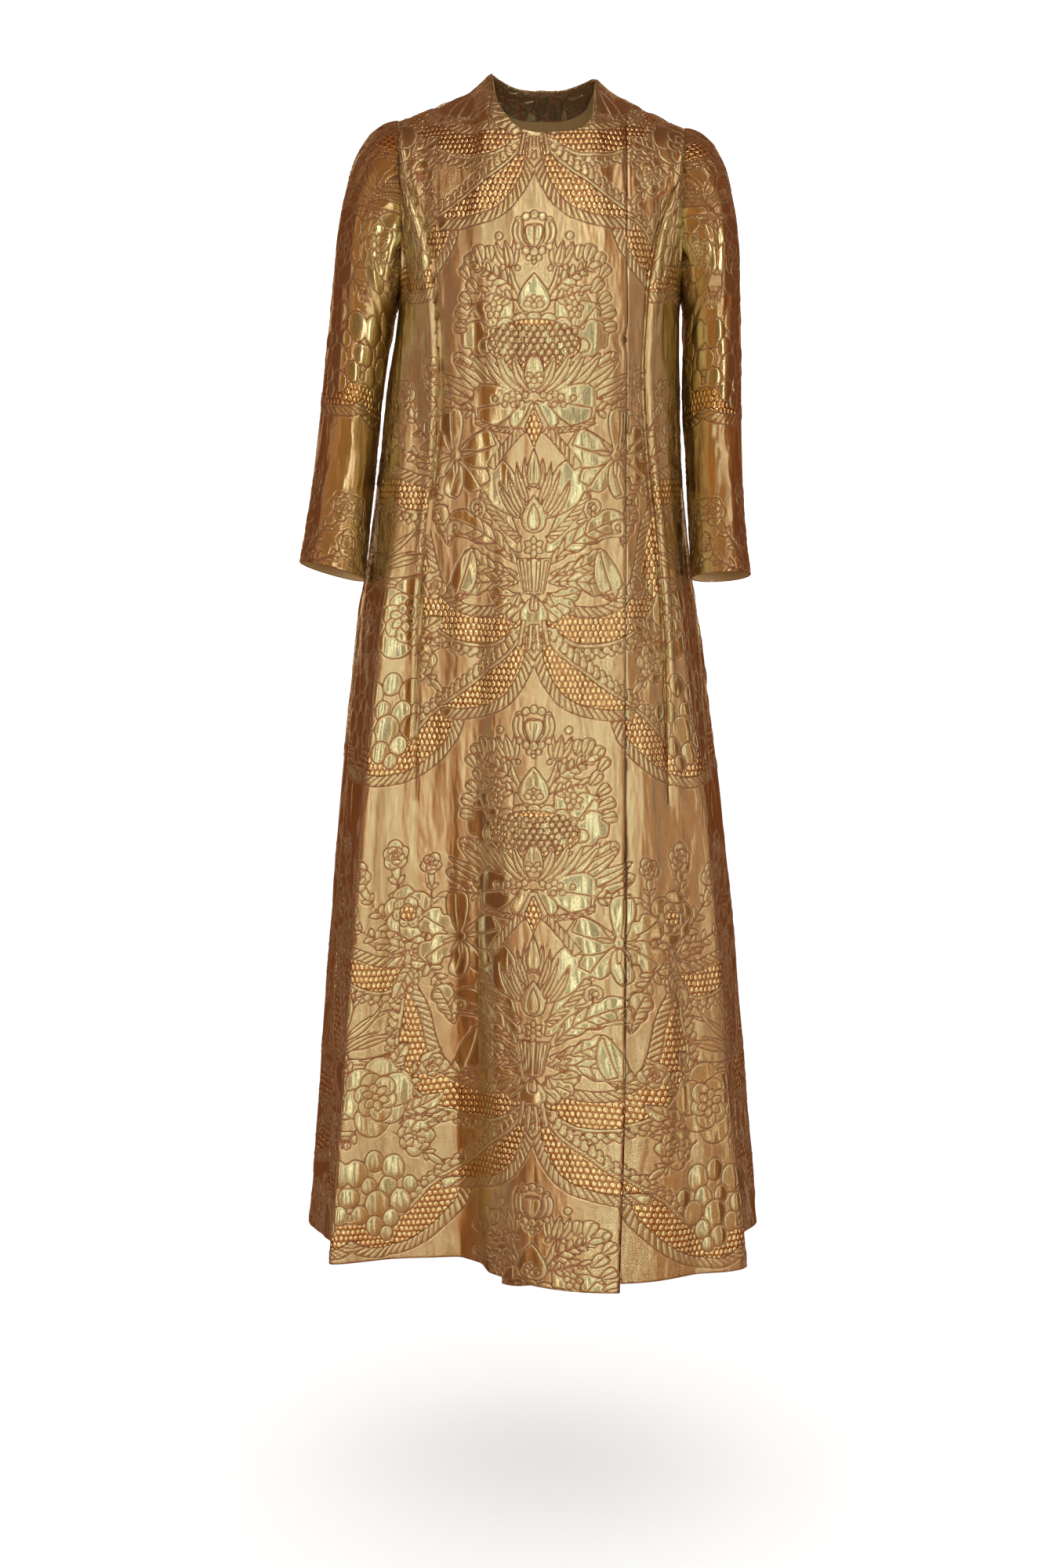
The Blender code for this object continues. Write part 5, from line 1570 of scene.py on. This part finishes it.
    @staticmethod
    def dart_seam(points: Array) -> Array:
        """Give each point's distance from the seam of its front's dart, in millimetres.

        Args:
            points: points of the body.

        Returns:
            The distances.
        """
        across, ahead, height = np.moveaxis(points, -1, 0)
        beside = 1000 * np.abs(np.abs(across) - through(DART, height))
        past_end = 1000 * np.maximum(DART[-1][0] - height, height - DART[0][0] - DART_ABOVE)
        return np.where(ahead < 0, np.maximum(beside, past_end), FAR_FROM_SEAM)


@dataclass
class BackPanel(Panel):
    """The back of the coat, in one piece."""

    def build(self, repeat: Repeat, drape: Drape, materials: Materials) -> bpy.types.Object:
        """Make the back and put it on its body.

        Args:
            repeat: the drawn brocade.
            drape: the ripples.
            materials: the brocade and the lining.

        Returns:
            The new object.
        """
        form = self.form
        seam = form.seam_turn(1.0, 1)
        marks = [seam, 180 - TIP_TURN, 180 - form.neck_end(NECK_WIDTH_LEFT), 180.0,
                 180 + form.neck_end(NECK_WIDTH_RIGHT), 180 + TIP_TURN, 360 - seam]
        turn, rise = self.grid(marks, (0.18, 0.16, 0.16, 0.16, 0.16, 0.18),
                               lambda rise: (form.seam_turn(rise, 1), 360 - form.seam_turn(rise, 1)),
                               lambda turn: form.neck_rise(turn) - TOP_GAP)
        points, out = form.place(turn, rise)
        flat = self.flat_place(points, turn - 180, rise)
        points = points + out * BACK_CREASES.offset(1000 * points[..., 0], 1000 * points[..., 2])[..., None]
        shell = ClothShell("back", ["front_right", "front_left"], points, out, flat)
        return shell.build(repeat, drape, materials)


@dataclass
class Sleeve:
    """A three-quarter sleeve, set into the armhole."""

    form: BodyForm
    side: Side
    cuff_tilt: float                  # how much higher the cuff is outside than inside
    sections: Rows                    # height, inner side, outer side, middle's depth, half depth
    cuff_slope: float = 0.16
    cap_rows: int = 92
    arm_rows: int = 128
    columns: int = 164
    pattern_place: tuple[float, float] = (118.0, 730.0)

    def ring(self, around: Array, height: Array) -> Array:
        """Give points round the arm; around is 0 outside, 90 in front, 180 inside.

        Args:
            around: degrees round the arm.
            height: heights, of the same shape.

        Returns:
            The points.
        """
        inner, outer, middle, half_depth = np.moveaxis(through(self.sections, height), -1, 0)
        angle = np.radians(around)
        out, ahead = (outer - inner) / 2 * np.cos(angle), half_depth * np.sin(angle)
        above, cuff = self.sections[-3][0], self.sections[-1][0]
        near_cuff = np.clip((above - height) / (above - cuff), 0, 1)
        slant = (self.cuff_tilt * out + self.cuff_slope * ahead) * near_cuff
        return np.stack([(inner + outer) / 2 + out, middle - ahead, height + slant], axis=-1)

    def start(self, around: Array) -> tuple[Array, Array]:
        """Give the armhole's points and the direction in which the sleeve leaves each.

        Args:
            around: degrees round the arm.

        Returns:
            The points, and unit directions.
        """
        front = around <= 180
        arm = np.where(front, around, 360 - around) / 180
        point = np.where(front[..., None], along(ARMHOLE_FRONT, arm), along(ARMHOLE_BACK, arm))
        if self.side is Side.LEFT:
            point = self.form.shoulder_drop(point)
        angle = np.radians(around)
        return point, unit(np.stack([0.62 + 0.38 * np.cos(angle), -0.30 * np.sin(angle),
                                     -0.58 + 0.52 * np.cos(angle)], axis=-1))

    def place(self, around: Array, part: Array) -> Array:
        """Give points: part 0 at the armhole, 1 where the cap ends, 2 at the cuff.

        Args:
            around: degrees round the arm.
            part: parts, of the same shape.

        Returns:
            The points.
        """
        top, cuff = self.sections[0][0], self.sections[-1][0]
        start, leave = self.start(around)
        start = start + leave * SEAM_GAP
        end, after = (self.ring(around, np.full_like(around, height))
                      for height in (top, top + 0.01 * (cuff - top)))
        length = 0.9 * np.linalg.norm(end - start, axis=-1, keepdims=True)
        cap = hermite(np.clip(part, 0, 1)[..., None], start, length * leave, end, length * unit(after - end))
        arm = self.ring(around, top + (cuff - top) * np.clip(part - 1, 0, 1))
        return np.where((part > 1)[..., None], arm, cap)

    def build(self, repeat: Repeat, drape: Drape, materials: Materials) -> bpy.types.Object:
        """Make the sleeve and put it on its body.

        Args:
            repeat: the drawn brocade.
            drape: the ripples.
            materials: the brocade and the lining.

        Returns:
            The new object.
        """
        angles = np.linspace(0.0, 360.0, self.columns, endpoint=False)
        arm, cap = np.linspace(2, 1, self.arm_rows + 1), np.linspace(1, 0, self.cap_rows + 1)
        around, part = np.meshgrid(angles, np.concatenate([arm[:-1], cap]))
        points = self.place(around, part)
        down = self.place(around, np.minimum(part + 0.02, 2)) - self.place(around, np.maximum(part - 0.02, 0))
        round_arm = self.place((around + 1) % 360, part) - self.place((around - 1) % 360, part)
        out = unit(np.cross(round_arm, down))
        run, up = arc(points, 1) * 1000, arc(points, 0) * 1000
        width = run[:, -1:] * self.columns / (self.columns - 1)
        centred = np.where(around > 180, run - width, run)
        seam = np.abs(np.abs(centred) - width / 2)
        flat = np.stack([centred + self.pattern_place[0], self.pattern_place[1] - up], axis=-1)
        points = points + out * SLEEVE_CREASES.offset(around, 1000 * points[..., 2])[..., None]
        mirror = np.array([self.side.value, 1.0, 1.0])
        points, out = points * mirror, out * mirror
        if self.side is Side.LEFT:
            points, out, flat, seam = points[:, ::-1], out[:, ::-1], flat[:, ::-1], seam[:, ::-1]
        side = self.side.name.lower()
        shell = ClothShell("sleeve_" + side, ["back", "front_" + side], points, out, flat, closed=True,
                           facing=0.02, seam=seam, level_rows=self.arm_rows + 1)
        return shell.build(repeat, drape, materials)


SLEEVE_RIGHT = ((-0.258, 0.155, 0.2205, 0.001, 0.0575), (-0.323, 0.1655, 0.2285, 0.002, 0.054),
                (-0.403, 0.174, 0.2385, -0.008, 0.0505), (-0.458, 0.1795, 0.245, -0.024, 0.049),
                (-0.505, 0.183, 0.251, -0.04, 0.048))
SLEEVE_LEFT = ((-0.258, 0.148, 0.207, 0.001, 0.0575), (-0.323, 0.148, 0.2085, 0.001, 0.054),
               (-0.403, 0.1525, 0.211, -0.012, 0.0505), (-0.458, 0.1535, 0.2125, -0.032, 0.049),
               (-0.51, 0.155, 0.2165, -0.052, 0.048))


class Lit(Enum):
    """Which pieces a softbox lights."""

    ALL = "all"
    BODY = "body"
    SLEEVES = "sleeves"


AHEAD = (0.0, 0.0, -0.10)         # the point that most softboxes face


@dataclass
class Studio:
    """The pale floor, the softboxes, the surroundings and the camera."""

    floor_half: float = 14.0
    # what it lights, place, point aimed at, width, height, radiance, and warmth where it is warm
    softboxes: Sequence[Sequence[object]] = (
        ("broad", Lit.BODY, (0.10, -3.30, 0.20), (0.10, 0.0, 0.20), 3.40, 5.40, 0.225),
        ("broad_left", Lit.BODY, (-1.98, -2.64, 0.20), (0.0, 0.0, 0.20), 1.00, 5.40, 0.22),
        ("broad_right", Lit.BODY, (2.05, -2.58, 0.20), (0.0, 0.0, 0.20), 1.10, 5.40, 0.16),
        ("front", Lit.BODY, (0.34, -3.28, -0.10), AHEAD, 0.24, 4.60, 3.0),
        ("high", Lit.BODY, (0.42, -2.40, 1.95), AHEAD, 0.80, 0.90, 3.4),
        ("front_left", Lit.BODY, (-0.62, -3.20, -0.10), AHEAD, 0.18, 4.60, 3.8),
        ("left", Lit.BODY, (-1.90, -2.70, -0.10), AHEAD, 0.14, 4.60, 4.2),
        ("far_left", Lit.BODY, (-3.20, 0.25, -0.10), AHEAD, 0.16, 4.60, 2.2),
        ("front_right", Lit.BODY, (1.40, -2.85, -0.10), AHEAD, 0.14, 4.60, 3.2),
        ("right", Lit.BODY, (2.75, -1.75, -0.10), AHEAD, 0.14, 4.60, 2.2),
        ("far_right", Lit.BODY, (3.20, 0.40, -0.10), AHEAD, 0.16, 4.60, 2.4),
        ("arms_broad", Lit.SLEEVES, (0.10, -3.30, 0.20), (0.10, 0.0, 0.20), 3.40, 5.40, 0.11, 1.0),
        ("arms", Lit.SLEEVES, (1.95, -2.50, -0.10), AHEAD, 0.12, 4.60, 15.0),
        ("arms_left", Lit.SLEEVES, (-2.60, -1.40, -0.10), AHEAD, 0.10, 4.60, 2.5),
        ("top", Lit.BODY, (0.10, -0.70, 1.80), (0.0, 0.0, -0.05), 0.80, 0.50, 2.5),
        ("back_left", Lit.ALL, (-1.2, 3.0, 0.2), (0.0, 0.0, -0.60), 0.35, 2.60, 1.2, 0.6),
        ("back_right", Lit.ALL, (1.0, 3.1, 0.2), (0.0, 0.0, -0.60), 0.35, 2.60, 1.2, 0.6),
    )
    # where the reflected surroundings change colour: how far ahead, 0 to 1, and the colour
    reflected: Sequence[tuple[float, Colour]] = (
        (0.15, (0.17, 0.034, 0.003)), (0.70, (0.50, 0.160, 0.016)), (0.985, (0.10, 0.046, 0.014)))
    groups: dict[Lit, bpy.types.Collection] = field(default_factory=dict)

    def build(self) -> None:
        """Make everything that isn't the coat."""
        view = bpy.context.scene.view_settings
        view.view_transform, view.look = "Standard", "None"
        self.groups = {lit: bpy.data.collections.new("lit_" + lit.value) for lit in (Lit.BODY, Lit.SLEEVES)}
        self.floor()
        self.surroundings()
        for row in self.softboxes:
            self.softbox(*row)
        self.camera()

    @staticmethod
    def hang(name: str, data: bpy.types.ID) -> bpy.types.Object:
        """Put new data in the scene.

        Args:
            name: its name.
            data: mesh, light or camera data.

        Returns:
            The new object.
        """
        item = bpy.data.objects.new(name, data)
        bpy.context.scene.collection.objects.link(item)
        return item

    def floor(self) -> None:
        """Make the floor."""
        data = bpy.data.meshes.new("floor")
        edge = [(x * self.floor_half, y * self.floor_half, FLOOR_HEIGHT)
                for x, y in ((-1, -1), (1, -1), (1, 1), (-1, 1))]
        data.from_pydata(edge, [], [(0, 1, 2, 3)])
        desk = NodeDesk(bpy.data.materials.new("pale_floor"))
        dust = desk.noise(desk.position(), 2.0, scale=3.0)
        data.materials.append(desk.surface((0.90, 0.90, 0.90), 0.8, 0.0, dust, 0.0002))
        item = self.hang("floor", data)
        item.visible_glossy = item.visible_shadow = False

    def surroundings(self) -> None:
        """Make the surroundings: white behind the coat, warm and dim in its reflections."""
        desk = NodeDesk(bpy.data.worlds.new("studio"))
        seen = desk.tree.nodes["Background"]
        desk.feed(seen, {"Color": (1.0, 1.0, 1.0), "Strength": 1.3})
        ahead = desk.add("VectorMath", {0: desk.add("TexCoord", {}, "Generated"), 1: (0.06, -0.99, 0.12)},
                         "Value", operation="DOT_PRODUCT")
        ramp = desk.add("ValToRGB", {0: ahead})
        stops = ramp.node.color_ramp.elements
        stops.new(0.5)
        for stop, (place, colour) in zip(stops, self.reflected):
            stop.position, stop.color = place, (*colour, 1.0)
        mirrored = desk.add("Background", {"Color": ramp})
        glossy = desk.add("LightPath", {}, "Is Glossy Ray")
        mix = desk.add("MixShader", {0: glossy, 1: seen.outputs[0], 2: mirrored})
        desk.feed(desk.tree.nodes["World Output"], {"Surface": mix})
        bpy.context.scene.world = desk.owner

    def softbox(self, name: str, lit: Lit, place: Sequence[float], aim: Sequence[float], width: float,
                height: float, radiance: float, warmth: float = 0.0) -> None:
        """Hang one softbox that faces a point.

        Args:
            name: its name.
            lit: what it lights.
            place: its place.
            aim: the point that it faces.
            width: its width.
            height: its height.
            radiance: how bright its face is.
            warmth: 0 white, 1 golden.
        """
        data = bpy.data.lights.new(name, "AREA")
        data.shape = "RECTANGLE"
        data.size, data.size_y = width, height
        data.energy = radiance * math.pi * width * height
        data.color = (1.0, 1.01 - 0.42 * warmth, 0.98 - 0.78 * warmth)
        item = self.hang(name, data)
        x, y, z = np.asarray(aim, float) - np.asarray(place, float)
        item.location = place
        item.rotation_euler = (math.pi / 2 + math.atan2(z, math.hypot(x, y)), 0.0, -math.atan2(x, y))
        item.visible_camera = False
        if lit is not Lit.ALL:
            item.light_linking.receiver_collection = self.groups[lit]

    def camera(self) -> None:
        """Place the camera at the photograph's viewing angle."""
        data = bpy.data.cameras.new("camera")
        data.lens, data.sensor_width = CAMERA_LENS, 36.0
        item = self.hang("camera", data)
        item.location = CAMERA_PLACE
        item.rotation_euler = (math.radians(90.0 - CAMERA_PITCH), 0.0, 0.0)
        bpy.context.scene.camera = item


def corners(box: Rows) -> list[list[float]]:
    """Write a box as plain lists."""
    return [[float(value) for value in corner] for corner in box]


def main() -> None:
    """Dress the frame with every piece of the coat."""
    logging.basicConfig(level=logging.INFO, format="%(message)s")
    for item in list(bpy.data.objects):
        bpy.data.objects.remove(item)
    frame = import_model()
    studio = Studio()
    studio.build()
    LOG.info("studio built")
    repeat, drape, form = Repeat(), Drape(), BodyForm()
    BrocadeDesign(Weaver(repeat)).draw()
    LOG.info("brocade drawn, %d shapes", repeat.count)
    materials = (BrocadeFinish().material(), LiningFinish().material())
    body = [FrontPanel(form, side=Side.RIGHT), FrontPanel(form, side=Side.LEFT), BackPanel(form)]
    sleeves = [Sleeve(form, Side.RIGHT, 0.26, SLEEVE_RIGHT), Sleeve(form, Side.LEFT, 0.04, SLEEVE_LEFT)]
    for piece, lit in [(piece, Lit.BODY) for piece in body] + [(piece, Lit.SLEEVES) for piece in sleeves]:
        item = piece.build(repeat, drape, materials)
        studio.groups[lit].objects.link(item)
        LOG.info("%s: %d triangles", item.name, sum(len(face.vertices) - 2 for face in item.data.polygons))
    for node, finish in (("eye", WireFinish("pale_gold_wire", (0.83, 0.68, 0.40), 0.22)),
                         ("hook", WireFinish("dark_wire", (0.06, 0.05, 0.04), 0.35))):
        frame["nodes"][node].material_slots[0].material = finish.material()
        studio.groups[Lit.BODY].objects.link(frame["nodes"][node])
        LOG.info("%s finished", node)


if __name__ == "__main__":
    main()
